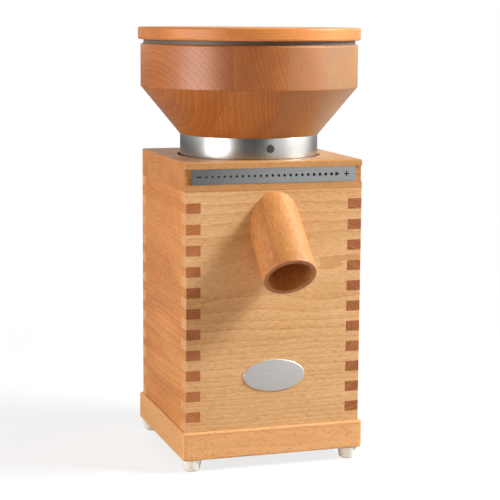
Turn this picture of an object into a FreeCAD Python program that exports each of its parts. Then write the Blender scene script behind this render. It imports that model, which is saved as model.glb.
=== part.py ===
import FreeCAD, Part
import os
from math import cos, pi, radians, sin, tan

# Electric grain mill with two flat stones, in millimetres.
# The origin is on the floor, under the axis of the stones. +Z is up and the front faces -Y.

# Shared clearances
running_clearance = 0.05
slip_clearance = 0.3
cut_overrun = 2.0

# Rings of the mill. The stones' radius sets each ring round them, and the width of the case.
stone_radius = 42.5
chamber_clearance = 6.5
thread_step = 8.0
collar_step = 5.0
collar_gap = 2.7
plate_land_side = 15.3
plate_land_front = 11.8
chamber_radius = stone_radius + chamber_clearance
thread_radius = chamber_radius + thread_step
collar_radius = thread_radius + collar_step
collar_hole_radius = collar_radius + collar_gap

# Wooden case
case_width = 2 * (collar_hole_radius + plate_land_side)
case_depth = 2 * (collar_hole_radius + plate_land_front)
side_board = 13.0
front_board = 16.0
back_board = 12.0
finger_height = 9.1
finger_count = 23
case_edge_round = 0.8

# Plinth, a frame of four mitred rails
plinth_height = 24.5
plinth_overhang = 3.0
rail_width = 20.0
plinth_corner_round = 3.0
plinth_edge_round = 1.6
rebate_width = 5.0
rebate_height = 8.0

# Bottom board with its air slots
bottom_board_thickness = 6.0
air_slot_width = 5.0
air_slot_length = 70.0
air_slot_pitch = 12.0
air_slot_count = 7

# Feet
foot_height = 11.0
foot_top_radius = 9.0
foot_bottom_radius = 6.6
foot_edge_round = 2.0
foot_inset = 10.0
foot_hole_radius = 2.4
foot_recess_radius = 4.2
foot_recess_depth = 4.0

# Wood screws
foot_screw_radius = 2.0
foot_screw_head_radius = 3.8
foot_screw_head_height = 2.4
foot_screw_length = 22.0
plinth_screw_radius = 2.0
plinth_screw_head_radius = 3.0
plinth_screw_head_height = 3.0
plinth_screw_length = 30.0
plinth_screw_sink = 10.0
plinth_screw_spread_x = 36.0
plinth_screw_spread_y = 24.0
board_screw_radius = 1.2
board_screw_head_radius = 2.0
board_screw_head_height = 1.4
board_screw_length = 14.0
board_screw_spread = 45.0

# Top plate with the groove for the scale
top_plate_height = 25.0
top_plate_round = 1.2
groove_drop = 5.5
groove_height = 13.6
groove_depth = 3.0

# Scale strip, with marks that grow from the fine end to the coarse end
strip_end_margin = 5.5
strip_thickness = 1.5
strip_corner_round = 1.0
mark_depth = 0.2
mark_count = 22
first_mark_offset = 18.5
last_mark_offset = 22.7
mark_pitch = (case_width - first_mark_offset - last_mark_offset) / mark_count
fine_mark_radius = 0.75
coarse_mark_radius = 1.2
arrow_length = 3.6
arrow_half_height = 1.7
sign_length = 4.0
sign_thickness = 0.9

# Oval name plate, left bare
badge_width = 56.0
badge_height = 28.4
badge_thickness = 1.2
badge_bevel = 0.4
badge_height_above_plinth = 46.5

# Spout, a wooden tube with a level tenon through the front board
spout_outer_radius = 23.25
spout_bore_radius = 18.9
spout_length = 55.2
spout_slope_deg = 42.6
spout_drop = 32.2
spout_rim_round = 1.6
spout_bore_round = 0.9
tenon_radius = 19.0
tenon_bore_radius = 15.5
tenon_drop = 22.2

# Milling chamber, screwed up under the top plate
thread_gap = 0.5
seal_seat_drop = 8.0
seal_thickness = 3.0
flange_thickness = 6.0
flange_gap = 1.0
flange_corner_round = 6.0
chamber_wall = 5.0
chamber_floor_drop = 62.0
chamber_floor_thickness = 6.0
duct_wall = 4.5
chamber_screw_radius = 2.0
chamber_screw_head_radius = 4.0
chamber_screw_head_height = 2.8
chamber_screw_length = 20.0
chamber_screw_inset = 10.0
shaft_seal_radius = 14.0
shaft_seal_thickness = 3.0

# Adjusting collar and the holder of the upper stone
collar_wall = 2.0
collar_show = 18.5
collar_sink = 3.0
marker_radius = 3.7
marker_rise = 9.4
marker_proud = 0.2
holder_disc_top_drop = 6.0
holder_disc_bottom_drop = 16.0
holder_skirt_drop = 28.0
holder_rim_width = 5.0
throat_radius = 17.0
throat_wall = 4.0
throat_top_sink = 2.5
screw_boss_radius = 5.5
hopper_screw_inset = 17.0
hopper_screw_circle = thread_radius - hopper_screw_inset
hopper_screw_count = 3
hopper_screw_first_deg = 90.0
hopper_screw_radius = 2.0
hopper_screw_head_radius = 4.0
hopper_screw_head_height = 2.6
hopper_screw_length = 20.0
hopper_screw_sink = 5.0
guard_thickness = 2.5
guard_bar_width = 3.0

# Stones
stone_gap = 1.1
upper_stone_thickness = 18.0
lower_stone_thickness = 18.0
stone_pocket_clearance = 0.2
stone_face_width = 14.0
stone_dish_depth = 7.0
lower_dish_depth = 3.0
furrow_count = 12
furrow_width = 2.4
furrow_depth = 1.2
furrow_slant_deg = 20.0
stone_screw_inset = 10.5
stone_screw_circle = stone_radius - stone_screw_inset
stone_screw_count = 3
stone_screw_first_deg = 30.0
stone_screw_radius = 2.0
stone_screw_head_radius = 3.6
stone_screw_head_height = 2.4
stone_screw_length = 16.0

# Carrier of the lower stone, with its sweeper blades
lower_eye_radius = 15.0
carrier_disc_inset = 2.5
carrier_disc_radius = stone_radius - carrier_disc_inset
carrier_disc_thickness = 5.0
carrier_boss_radius = 14.4
carrier_boss_drop = 1.5
blade_count = 4
blade_thickness = 3.0
blade_tip_gap = 0.6
blade_floor_gap = 0.5
blade_height = 11.0
clamp_nut_radius = 13.5
clamp_nut_base = 4.0
clamp_nut_height = 12.0
clamp_nut_tip_radius = 4.0
clamp_nut_thread_depth = 7.0

# Hopper
hopper_base_overhang = 0.3
hopper_base_radius = collar_radius + hopper_base_overhang
hopper_radius = 97.3
hopper_cone_height = 42.6
hopper_wall_height = 37.5
hopper_wall = 12.5
hopper_rim_round = 1.5
hopper_inner_round = 1.0
hopper_base_round = 0.8
hopper_knuckle_round = 0.8
bowl_floor_inset = 6.3
bowl_floor_radius = hopper_base_radius - bowl_floor_inset
bowl_floor_rise = 12.5
bowl_throat_rise = 6.0
bowl_shoulder_rise = 4.9

# Lid
lid_overhang = 2.3
lid_radius = hopper_radius + lid_overhang
lid_thickness = 11.0
lid_round = 1.8
lid_ring_height = 3.6
lid_ring_inset = 2.6
lid_ring_width = 14.7
lid_ring_radius = hopper_radius - lid_ring_inset
lid_ring_inner_radius = lid_ring_radius - lid_ring_width
lid_spigot_depth = 5.0
lid_spigot_clearance = 0.5

# Motor
shaft_radius = 6.0
motor_flange_overhang = 7.0
motor_flange_radius = chamber_radius + motor_flange_overhang
motor_flange_thickness = 6.0
motor_inset = 2.0
motor_radius = chamber_radius - motor_inset
motor_wall = 6.0
top_bell_depth = 14.0
stator_length = 60.0
stator_width = 18.0
stator_bore_radius = motor_radius - stator_width
air_gap = 0.5
winding_bore_margin = 2.0
winding_inner_radius = stator_bore_radius + winding_bore_margin
winding_width = 9.0
winding_outer_radius = winding_inner_radius + winding_width
winding_height = 10.0
winding_round = 3.0
bottom_bell_depth = 16.0
bottom_bell_plate = 4.0
bearing_radius = 16.0
bearing_width = 10.0
bearing_seat_wall = 4.0
shaft_passage_gap = 2.0
motor_screw_count = 4
motor_screw_radius = 2.0
motor_screw_head_radius = 3.3
motor_screw_head_height = 2.6
motor_screw_length = 14.0
motor_screw_inset = 4.5
motor_screw_first_deg = 45.0
tie_bolt_count = 4
tie_bolt_first_deg = 0.0
tie_bolt_radius = 2.0
tie_bolt_head_radius = 3.6
tie_bolt_head_height = 2.6
bell_vent_count = 8
bell_vent_width = 7.0
bell_vent_height = 6.0

# Cooling fan under the motor
fan_gap = 4.0
fan_inset = 4.0
fan_radius = motor_radius - fan_inset
fan_plate = 2.0
fan_hub_radius = 10.0
fan_blade_height = 14.0
fan_blade_thickness = 2.0
fan_blade_count = 9
clip_radius = 8.6
clip_thickness = 1.2
shaft_tail = 4.0

# Motor capacitor and its clip
capacitor_radius = 15.0
capacitor_length = 70.0
capacitor_wall_gap = 3.0
capacitor_top_drop = 108.0
clip_band_thickness = 1.5
clip_band_height = 12.0
clip_tab_width = 22.0
clip_screw_radius = 1.5
clip_screw_head_radius = 2.8
clip_screw_head_height = 1.2
clip_screw_length = 9.0
clip_tab_tail = 8.0

# Rocker switch in the back board
switch_offset = -35.0
switch_rise = 52.0
switch_body_width = 22.0
switch_body_height = 29.0
switch_body_depth = 22.0
switch_bezel_margin = 2.0
switch_bezel_thickness = 2.0
rocker_width = 17.0
rocker_radius = 12.0
rocker_gap = 0.4
rocker_facet_deg = 8.0
rocker_front = 3.2
rocker_back = 4.0
rocker_pin_radius = 1.5
rocker_pin_reach = 1.2
rocker_pivot_sink = 0.5
rocker_well_depth = 14.0

# Gland for the mains cord, in the back board
gland_offset = 35.0
gland_rise = 26.0
gland_flange_radius = 10.0
gland_flange_thickness = 3.0
gland_barrel_radius = 7.0
gland_bore_radius = 3.6
gland_nut_radius = 10.5
gland_nut_sides = 6
gland_nut_thickness = 4.0
gland_nose_length = 8.0
gland_nose_radius = 5.4

# Heights worked out from the sizes above
wall_height = finger_count * finger_height
plinth_bottom = foot_height
plinth_top = plinth_bottom + plinth_height
plate_bottom = plinth_top + wall_height
plate_top = plate_bottom + top_plate_height
hopper_base = plate_top + collar_show
hopper_knuckle = hopper_base + hopper_cone_height
hopper_rim = hopper_knuckle + hopper_wall_height
lid_bottom = hopper_rim + lid_ring_height
lid_top = lid_bottom + lid_thickness

# Outer and inner faces of the case
case_right = case_width / 2
case_front = -case_depth / 2
case_back = case_depth / 2
inner_right = case_right - side_board
inner_front = case_front + front_board
inner_back = case_back - back_board

# Levels of the mill's inner pieces
seal_seat = plate_top - seal_seat_drop
flange_bottom = plate_bottom - flange_thickness
chamber_floor = plate_top - chamber_floor_drop
chamber_bottom = chamber_floor - chamber_floor_thickness
holder_disc_top = plate_top - holder_disc_top_drop
holder_disc_bottom = plate_top - holder_disc_bottom_drop
upper_stone_bottom = holder_disc_bottom - upper_stone_thickness
lower_stone_top = upper_stone_bottom - stone_gap
lower_stone_bottom = lower_stone_top - lower_stone_thickness
carrier_bottom = lower_stone_bottom - carrier_disc_thickness
throat_top = hopper_base + bowl_throat_rise - throat_top_sink
tenon_axis = plate_bottom - tenon_drop
motor_flange_bottom = chamber_bottom - motor_flange_thickness
stator_top = motor_flange_bottom - top_bell_depth
stator_bottom = stator_top - stator_length
bottom_bell_bottom = stator_bottom - bottom_bell_depth - bottom_bell_plate
fan_top = bottom_bell_bottom - fan_gap
fan_bottom = fan_top - fan_plate - fan_blade_height
shaft_bottom = fan_bottom - shaft_tail
clamp_nut_seat = lower_stone_top - lower_dish_depth - carrier_boss_drop
shaft_top = clamp_nut_seat + clamp_nut_thread_depth

# Circles of the motor's fixings
tie_bolt_circle = motor_radius - motor_wall / 2
motor_screw_circle = motor_flange_radius - motor_screw_inset

# Distance under which two places count as one
same_place = running_clearance / 10


# Helpers

def vec(x, y, z):
    return FreeCAD.Vector(x, y, z)


def block(x0, x1, y0, y1, z0, z1):
    """A box between pairs of coordinates."""
    return Part.makeBox(x1 - x0, y1 - y0, z1 - z0, vec(x0, y0, z0))


def disc(radius, z0, z1, x=0, y=0):
    """An upright cylinder between two heights."""
    return Part.makeCylinder(radius, z1 - z0, vec(x, y, z0))


def tube(outer, inner, z0, z1, x=0, y=0):
    """An upright tube between two heights."""
    return disc(outer, z0, z1, x, y).cut(disc(inner, z0 - cut_overrun, z1 + cut_overrun, x, y))


def rod_y(radius, y0, y1, x, z):
    """A cylinder along Y."""
    return Part.makeCylinder(radius, y1 - y0, vec(x, y0, z), vec(0, 1, 0))


def rod_x(radius, x0, x1, y, z):
    """A cylinder along X."""
    return Part.makeCylinder(radius, x1 - x0, vec(x0, y, z), vec(1, 0, 0))


def turned(outline):
    """A solid of revolution about Z, from (radius, height) points."""
    points = [vec(r, 0, z) for r, z in outline]
    face = Part.Face(Part.makePolygon(points + points[:1]))
    return face.revolve(vec(0, 0, 0), vec(0, 0, 1), 360)


def prism(points, z0, z1):
    """A straight prism over (x, y) points."""
    corners = [vec(x, y, z0) for x, y in points]
    face = Part.Face(Part.makePolygon(corners + corners[:1]))
    return face.extrude(vec(0, 0, z1 - z0))


def fused(shapes):
    """One solid from overlapping or touching shapes."""
    return shapes[0].multiFuse(shapes[1:]).removeSplitter()


def around_z(shape, count, first_deg=0):
    """Copies of a shape, evenly spaced about Z."""
    copies = []
    for index in range(count):
        copy = shape.copy()
        copy.rotate(vec(0, 0, 0), vec(0, 0, 1), first_deg + index * 360 / count)
        copies.append(copy)
    return copies


def rounded(shape, radius, wanted):
    """A shape with the edges that a test picks filleted."""
    return shape.makeFillet(radius, [edge for edge in shape.Edges if wanted(edge)])


def is_level_at(edge, height):
    """Whether a whole edge lies at one height."""
    box = edge.BoundBox
    return abs(box.ZMin - height) < same_place and abs(box.ZMax - height) < same_place


def is_circle_at(edge, radius, height):
    """Whether an edge is a level circle of this radius at this height."""
    box = edge.BoundBox
    spans = abs(box.XMax - radius) < same_place and abs(box.XMin + radius) < same_place
    return is_level_at(edge, height) and spans


def is_upright(edge):
    """Whether an edge runs straight along Z."""
    box = edge.BoundBox
    return box.XLength + box.YLength < running_clearance / 10 and box.ZLength > running_clearance


def screw_up(x, y, seat, radius, length, head_radius, head_height):
    """A screw that points up: its head's upper face is at the seat."""
    head = disc(head_radius, seat - head_height, seat, x, y)
    socket = disc(radius / 2, seat - head_height - cut_overrun, seat - head_height / 2, x, y)
    return fused([head, disc(radius, seat - head_height / 2, seat + length, x, y)]).cut(socket)


def screw_down(x, y, seat, radius, length, head_radius, head_height):
    """A screw that points down: its head's lower face is at the seat."""
    head = disc(head_radius, seat, seat + head_height, x, y)
    socket = disc(radius / 2, seat + head_height / 2, seat + head_height + cut_overrun, x, y)
    return fused([head, disc(radius, seat - length, seat + head_height / 2, x, y)]).cut(socket)


# Places of repeated pieces

def corner_places(x, y):
    """The four corners of a rectangle centred on the axis."""
    return [(sx * x, sy * y) for sx in (-1, 1) for sy in (-1, 1)]


def foot_places():
    inset = plinth_overhang - foot_inset
    return corner_places(case_right + inset, case_back + inset)


def plinth_screw_places():
    """Two screws under each board of the case, in the middle of its thickness."""
    side = case_right - side_board / 2
    places = corner_places(side, plinth_screw_spread_y)
    for sign in (-1, 1):
        places.append((sign * plinth_screw_spread_x, case_front + front_board / 2))
        places.append((sign * plinth_screw_spread_x, case_back - back_board / 2))
    return places


def board_screw_places():
    """Four screws through the bottom board into the shoulders of the side rails."""
    shoulder = case_right + plinth_overhang - rail_width + rebate_width / 2
    return corner_places(shoulder, board_screw_spread)


def chamber_screw_places():
    """The screws at the corners of the chamber's flange."""
    x = inner_right - chamber_screw_inset
    return [(sx * x, y) for sx in (-1, 1)
            for y in (inner_front + chamber_screw_inset, inner_back - chamber_screw_inset)]


def ring_places(radius, count, first_deg):
    """Places spaced evenly on a circle."""
    turns = [radians(first_deg + index * 360 / count) for index in range(count)]
    return [(radius * cos(turn), radius * sin(turn)) for turn in turns]


# Plinth and feet

def plinth_rails():
    """The four mitred rails, cut from one rounded block."""
    right = case_right + plinth_overhang
    back = case_back + plinth_overhang
    body = block(-right, right, -back, back, plinth_bottom, plinth_top)
    body = rounded(body, plinth_corner_round, is_upright)
    body = rounded(body, plinth_edge_round,
                   lambda edge: is_level_at(edge, plinth_top) or is_level_at(edge, plinth_bottom))
    low = plinth_bottom - cut_overrun
    high = plinth_top + cut_overrun
    inner_x = right - rail_width
    inner_y = back - rail_width
    tools = [block(-inner_x, inner_x, -inner_y, inner_y, low, high)]
    step_x = inner_x + rebate_width
    step_y = inner_y + rebate_width
    tools.append(block(-step_x, step_x, -step_y, step_y, low, plinth_bottom + rebate_height))
    for x, y in foot_places():
        tools.append(disc(foot_screw_radius, low, foot_screw_seat() + foot_screw_length, x, y))
    seat = plinth_bottom + plinth_screw_sink
    for x, y in plinth_screw_places():
        tools.append(disc(plinth_screw_radius, low, high, x, y))
        tools.append(disc(plinth_screw_head_radius + slip_clearance, low, seat, x, y))
    for x, y in board_screw_places():
        tools.append(disc(board_screw_radius, low, board_screw_seat() + board_screw_length, x, y))
    body = body.cut(tools)
    rails = {}
    outer = [(-right, -back), (right, -back), (right, back), (-right, back)]
    inner = [(-inner_x, -inner_y), (inner_x, -inner_y), (inner_x, inner_y), (-inner_x, inner_y)]
    names = ("plinth_front_rail", "plinth_right_rail", "plinth_back_rail", "plinth_left_rail")
    for index, name in enumerate(names):
        following = (index + 1) % len(outer)
        wedge = [outer[index], outer[following], inner[following], inner[index]]
        rails[name] = body.common(prism(wedge, low, high))
    return rails


def foot_screw_seat():
    """The height of the recess floor in a foot, where the screw's head sits."""
    return foot_recess_depth


def board_screw_seat():
    """The underside of the bottom board."""
    return plinth_bottom + rebate_height - bottom_board_thickness


def feet():
    """Four tapered feet with a recess for the screw."""
    made = []
    for x, y in foot_places():
        foot = Part.makeCone(foot_bottom_radius, foot_top_radius, foot_height, vec(x, y, 0))
        foot = rounded(foot, foot_edge_round, lambda edge: is_level_at(edge, 0))
        bore = disc(foot_hole_radius, -cut_overrun, foot_height + cut_overrun, x, y)
        recess = disc(foot_recess_radius, -cut_overrun, foot_screw_seat(), x, y)
        made.append(foot.cut([bore, recess]))
    return made


def foot_screws():
    return [screw_up(x, y, foot_screw_seat(), foot_screw_radius, foot_screw_length,
                     foot_screw_head_radius, foot_screw_head_height)
            for x, y in foot_places()]


def plinth_screws():
    """Long screws that hold the case on the plinth."""
    seat = plinth_bottom + plinth_screw_sink
    return [screw_up(x, y, seat, plinth_screw_radius, plinth_screw_length,
                     plinth_screw_head_radius, plinth_screw_head_height)
            for x, y in plinth_screw_places()]


def bottom_board():
    """The board that closes the plinth, with slots for the cooling air."""
    x = case_right + plinth_overhang - rail_width + rebate_width - slip_clearance
    y = case_back + plinth_overhang - rail_width + rebate_width - slip_clearance
    low = board_screw_seat()
    high = low + bottom_board_thickness
    tools = []
    for index in range(air_slot_count):
        centre = (index - (air_slot_count - 1) / 2) * air_slot_pitch
        tools.append(block(-air_slot_length / 2, air_slot_length / 2, centre - air_slot_width / 2,
                           centre + air_slot_width / 2, low - cut_overrun, high + cut_overrun))
    for place in board_screw_places():
        tools.append(disc(board_screw_radius, low - cut_overrun, high + cut_overrun, *place))
    return block(-x, x, -y, y, low, high).cut(tools)


def board_screws():
    return [screw_up(x, y, board_screw_seat(), board_screw_radius, board_screw_length,
                     board_screw_head_radius, board_screw_head_height)
            for x, y in board_screw_places()]


# Finger-jointed case

def case_block():
    """The outside of the case, with its upright edges eased."""
    body = block(-case_right, case_right, case_front, case_back, plinth_top, plate_bottom)
    return rounded(body, case_edge_round, is_upright)


def finger_notches(x0, x1, y0, y1, first):
    """Every second finger's space in one corner, from the bottom up."""
    notches = []
    for index in range(first, finger_count, 2):
        low = plinth_top + index * finger_height
        notches.append(block(x0, x1, y0, y1, low, low + finger_height))
    return notches


def corner_notches(side, first, front):
    """The notches of one corner, of the side boards or of the front and back boards."""
    x0, x1 = sorted((side * inner_right, side * (case_right + cut_overrun)))
    if front:
        return finger_notches(x0, x1, case_front - cut_overrun, inner_front, first)
    return finger_notches(x0, x1, inner_back, case_back + cut_overrun, first)


def plinth_screw_pilots():
    """The holes that the long screws make in the boards."""
    top = plinth_bottom + plinth_screw_sink + plinth_screw_length
    return [disc(plinth_screw_radius, plinth_top - cut_overrun, top, x, y)
            for x, y in plinth_screw_places()]


def side_panel(side):
    """A side board; its end grain shows between the front board's fingers."""
    x0, x1 = sorted((side * inner_right, side * case_right))
    board = case_block().common(block(x0, x1, case_front, case_back, plinth_top, plate_bottom))
    tools = corner_notches(side, 0, True) + corner_notches(side, 0, False)
    return board.cut(tools + plinth_screw_pilots())


def front_panel():
    """The front board, with the round mortise for the spout."""
    board = block(-case_right, case_right, case_front, inner_front, plinth_top, plate_bottom)
    board = case_block().common(board)
    tools = corner_notches(-1, 1, True) + corner_notches(1, 1, True)
    tools.append(rod_y(tenon_radius + running_clearance, case_front - cut_overrun,
                       inner_front + cut_overrun, 0, tenon_axis))
    return board.cut(tools + plinth_screw_pilots())


def back_panel():
    """The back board, with the cut-outs for the switch and the gland."""
    board = block(-case_right, case_right, inner_back, case_back, plinth_top, plate_bottom)
    board = case_block().common(board)
    tools = corner_notches(-1, 1, False) + corner_notches(1, 1, False)
    tools.append(switch_block(slip_clearance, inner_back - cut_overrun, case_back + cut_overrun))
    tools.append(rod_y(gland_barrel_radius + slip_clearance, inner_back - cut_overrun,
                       case_back + cut_overrun, gland_offset, gland_height()))
    for x, z in clip_screw_places():
        tools.append(rod_y(clip_screw_radius, inner_back - cut_overrun, clip_screw_end(), x, z))
    return board.cut(tools + plinth_screw_pilots())


# Top plate, scale and name plate

def top_plate():
    """The solid wood plate with the hole for the collar and the groove for the scale."""
    body = block(-case_right, case_right, case_front, case_back, plate_bottom, plate_top)
    body = rounded(body, case_edge_round, is_upright)
    body = rounded(body, top_plate_round, lambda edge: is_level_at(edge, plate_top))
    groove_top = plate_top - groove_drop
    groove = block(-case_right - cut_overrun, case_right + cut_overrun, case_front - cut_overrun,
                   case_front + groove_depth, groove_top - groove_height, groove_top)
    tools = [groove, disc(collar_hole_radius, plate_bottom - cut_overrun, plate_top + cut_overrun)]
    for x, y in chamber_screw_places():
        top = flange_bottom + chamber_screw_length
        tools.append(disc(chamber_screw_radius, plate_bottom - cut_overrun, top, x, y))
    return body.cut(tools)


def strip_sizes():
    """The strip's half length, its bottom and its top."""
    bottom = plate_top - groove_drop - groove_height + slip_clearance
    return case_right - strip_end_margin, bottom, plate_top - groove_drop - slip_clearance


def scale_strip():
    """The brushed steel strip with its row of growing dots, an arrow and two signs."""
    half, bottom, top = strip_sizes()
    back = case_front + groove_depth
    front = back - strip_thickness
    strip = block(-half, half, front, back, bottom, top)
    strip = rounded(strip, strip_corner_round,
                    lambda edge: edge.BoundBox.XLength + edge.BoundBox.ZLength < slip_clearance)
    middle = (bottom + top) / 2
    floor = front + mark_depth
    above = front - cut_overrun
    tools = []
    for index in range(mark_count):
        share = index / (mark_count - 1)
        radius = fine_mark_radius + (coarse_mark_radius - fine_mark_radius) * share
        x = first_mark_offset - case_right + index * mark_pitch
        tools.append(rod_y(radius, above, floor, x, middle))
    tip = first_mark_offset - case_right + mark_count * mark_pitch
    corners = [vec(tip - arrow_length / 2, above, middle - arrow_half_height),
               vec(tip - arrow_length / 2, above, middle + arrow_half_height),
               vec(tip + arrow_length / 2, above, middle)]
    arrow = Part.Face(Part.makePolygon(corners + corners[:1]))
    tools.append(arrow.extrude(vec(0, floor - above, 0)))
    for x, upright in ((first_mark_offset / 2 + strip_end_margin / 2 - case_right, False),
                       ((tip + half) / 2, True)):
        tools.append(block(x - sign_length / 2, x + sign_length / 2, above, floor,
                           middle - sign_thickness / 2, middle + sign_thickness / 2))
        if upright:
            tools.append(block(x - sign_thickness / 2, x + sign_thickness / 2, above, floor,
                               middle - sign_length / 2, middle + sign_length / 2))
    return strip.cut(tools)


def oval(width, height, z, y0, y1):
    """An oval plate that lies in the XZ plane."""
    curve = Part.Ellipse(vec(0, y0, z), width / 2, height / 2).toShape()
    curve.rotate(vec(0, y0, z), vec(1, 0, 0), 90)
    return Part.Face(Part.Wire(curve)).extrude(vec(0, y1 - y0, 0))


def name_plate():
    """The oval plate on the front board, with a bevelled rim and no lettering."""
    z = plinth_top + badge_height_above_plinth
    front = case_front - badge_thickness
    plate = oval(badge_width, badge_height, z, front, case_front)
    rim = [edge for edge in plate.Edges if edge.BoundBox.YMax < front + same_place]
    return plate.makeChamfer(badge_bevel, rim)


# Spout

def spout():
    """A slanting tube, cut flush on the front board, with a level tenon through the board."""
    slope = radians(spout_slope_deg)
    direction = vec(0, -cos(slope), -sin(slope))
    exit_point = vec(0, case_front, plate_bottom - spout_drop)
    inward = spout_outer_radius / tan(pi / 2 - slope) + cut_overrun
    start = exit_point - direction * inward
    barrel = Part.makeCylinder(spout_outer_radius, inward + spout_length, start, direction)
    end = exit_point + direction * spout_length
    rim = [edge for edge in barrel.Edges
           if isinstance(edge.Curve, Part.Circle) and edge.Curve.Center.distanceToPoint(end) < same_place]
    barrel = barrel.makeFillet(spout_rim_round, rim)
    behind = block(-case_width, case_width, case_front, case_back, 0, lid_top)
    barrel = barrel.cut(behind)
    tenon = rod_y(tenon_radius, case_front - running_clearance, inner_front, 0, tenon_axis)
    body = fused([barrel, tenon])
    bore = Part.makeCylinder(spout_bore_radius, inward + spout_length + cut_overrun, start, direction)
    throat = rod_y(tenon_bore_radius, case_front - cut_overrun, inner_front + cut_overrun, 0, tenon_axis)
    body = body.cut([bore.cut(behind), throat])
    lip = [edge for edge in body.Edges
           if isinstance(edge.Curve, Part.Circle) and edge.Curve.Center.distanceToPoint(end) < same_place
           and abs(edge.Curve.Radius - spout_bore_radius) < same_place]
    return body.makeFillet(spout_bore_round, lip)


# Milling chamber

def milling_chamber():
    """The cast chamber: threaded ring, flange, cup, floor and the duct to the spout."""
    flange_x = inner_right - flange_gap
    flange = block(-flange_x, flange_x, inner_front + flange_gap, inner_back - flange_gap,
                   flange_bottom, plate_bottom)
    flange = rounded(flange, flange_corner_round, is_upright)
    ring = disc(collar_hole_radius - thread_gap, plate_bottom, seal_seat)
    cup = disc(chamber_radius + chamber_wall, chamber_bottom, plate_bottom)
    duct = rod_y(tenon_bore_radius + duct_wall, inner_front, 0, 0, tenon_axis)
    body = fused([flange, ring, cup, duct])
    tools = [disc(thread_radius + running_clearance, flange_bottom, seal_seat + cut_overrun),
             disc(chamber_radius, chamber_floor, plate_bottom),
             rod_y(tenon_bore_radius, inner_front - cut_overrun, 0, 0, tenon_axis),
             disc(shaft_radius + shaft_passage_gap, chamber_bottom - cut_overrun, plate_bottom),
             disc(shaft_seal_radius, chamber_floor - shaft_seal_thickness, plate_bottom)]
    for x, y in chamber_screw_places():
        tools.append(disc(chamber_screw_radius, flange_bottom - cut_overrun,
                          plate_bottom + cut_overrun, x, y))
    top = motor_flange_bottom + motor_screw_length
    for x, y in ring_places(motor_screw_circle, motor_screw_count, motor_screw_first_deg):
        tools.append(disc(motor_screw_radius, chamber_bottom - cut_overrun, top, x, y))
    return body.cut(tools)


def chamber_screws():
    return [screw_up(x, y, flange_bottom, chamber_screw_radius, chamber_screw_length,
                     chamber_screw_head_radius, chamber_screw_head_height)
            for x, y in chamber_screw_places()]


def shaft_seal():
    """The ring that keeps flour out of the motor."""
    return tube(shaft_seal_radius, shaft_radius + running_clearance,
                chamber_floor - shaft_seal_thickness, chamber_floor)


def dust_seal():
    """The felt ring that lies on the chamber's ring and turns with the collar."""
    return tube(collar_hole_radius - slip_clearance, thread_radius + slip_clearance,
                seal_seat, seal_seat + seal_thickness)


# Collar, holder and hopper

def adjusting_collar():
    """The steel band round the holder, with the hole for its marker."""
    bottom = plate_top - collar_sink
    band = tube(collar_radius, collar_radius - collar_wall, bottom, hopper_base)
    hole = rod_y(marker_radius, -collar_radius - cut_overrun, 0, 0, plate_top + marker_rise)
    return band.cut(hole)


def marker_dot():
    """The dark plug in the collar that points at the scale."""
    plug = rod_y(marker_radius, -collar_radius - cut_overrun, 0, 0, plate_top + marker_rise)
    shell = tube(collar_radius + marker_proud, collar_radius - collar_wall, plate_top, hopper_base)
    return plug.common(shell)


def stone_holder():
    """The turned holder: threaded skirt, disc, rim under the hopper, throat and screw bosses."""
    skirt_bottom = plate_top - holder_skirt_drop
    collar_bottom = plate_top - collar_sink
    rim_radius = collar_radius - collar_wall
    skirt = disc(thread_radius, skirt_bottom, collar_bottom)
    rim = disc(rim_radius, collar_bottom, hopper_base)
    throat_tube = disc(throat_radius + throat_wall, holder_disc_top, throat_top)
    body = fused([skirt, rim])
    hollow = disc(rim_radius - holder_rim_width, collar_bottom, hopper_base + cut_overrun)
    lower_hollow = disc(thread_radius - holder_rim_width, holder_disc_top, collar_bottom)
    pocket = disc(stone_radius + stone_pocket_clearance, skirt_bottom - cut_overrun,
                  holder_disc_bottom)
    body = body.cut([hollow, lower_hollow, pocket])
    bosses = [disc(screw_boss_radius, holder_disc_bottom, hopper_base, x, y)
              for x, y in ring_places(hopper_screw_circle, hopper_screw_count,
                                      hopper_screw_first_deg)]
    body = fused([body, throat_tube] + bosses)
    tools = [disc(throat_radius, skirt_bottom - cut_overrun, throat_top + cut_overrun)]
    for x, y in ring_places(hopper_screw_circle, hopper_screw_count, hopper_screw_first_deg):
        tools.append(disc(hopper_screw_radius, hopper_screw_seat() - hopper_screw_length,
                          hopper_base + cut_overrun, x, y))
    for x, y in ring_places(stone_screw_circle, stone_screw_count, stone_screw_first_deg):
        tools.append(disc(stone_screw_radius, holder_disc_bottom - cut_overrun,
                          holder_disc_top + cut_overrun, x, y))
    return body.cut(tools)


def guard_grid():
    """The cross in the throat that keeps fingers out of the stones."""
    top = throat_top + guard_thickness
    outer = throat_radius + throat_wall
    bar = guard_bar_width / 2
    ring = tube(outer, throat_radius, throat_top, top)
    bars = [block(-throat_radius - bar, throat_radius + bar, -bar, bar, throat_top, top),
            block(-bar, bar, -throat_radius - bar, throat_radius + bar, throat_top, top)]
    return fused([ring] + bars)


def hopper_screw_seat():
    """The floor of the counterbores in the bowl."""
    return hopper_base + bowl_floor_rise - hopper_screw_sink - bowl_shoulder_rise


def hopper_screws():
    return [screw_down(x, y, hopper_screw_seat(), hopper_screw_radius, hopper_screw_length,
                       hopper_screw_head_radius, hopper_screw_head_height)
            for x, y in ring_places(hopper_screw_circle, hopper_screw_count,
                                    hopper_screw_first_deg)]


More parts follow.
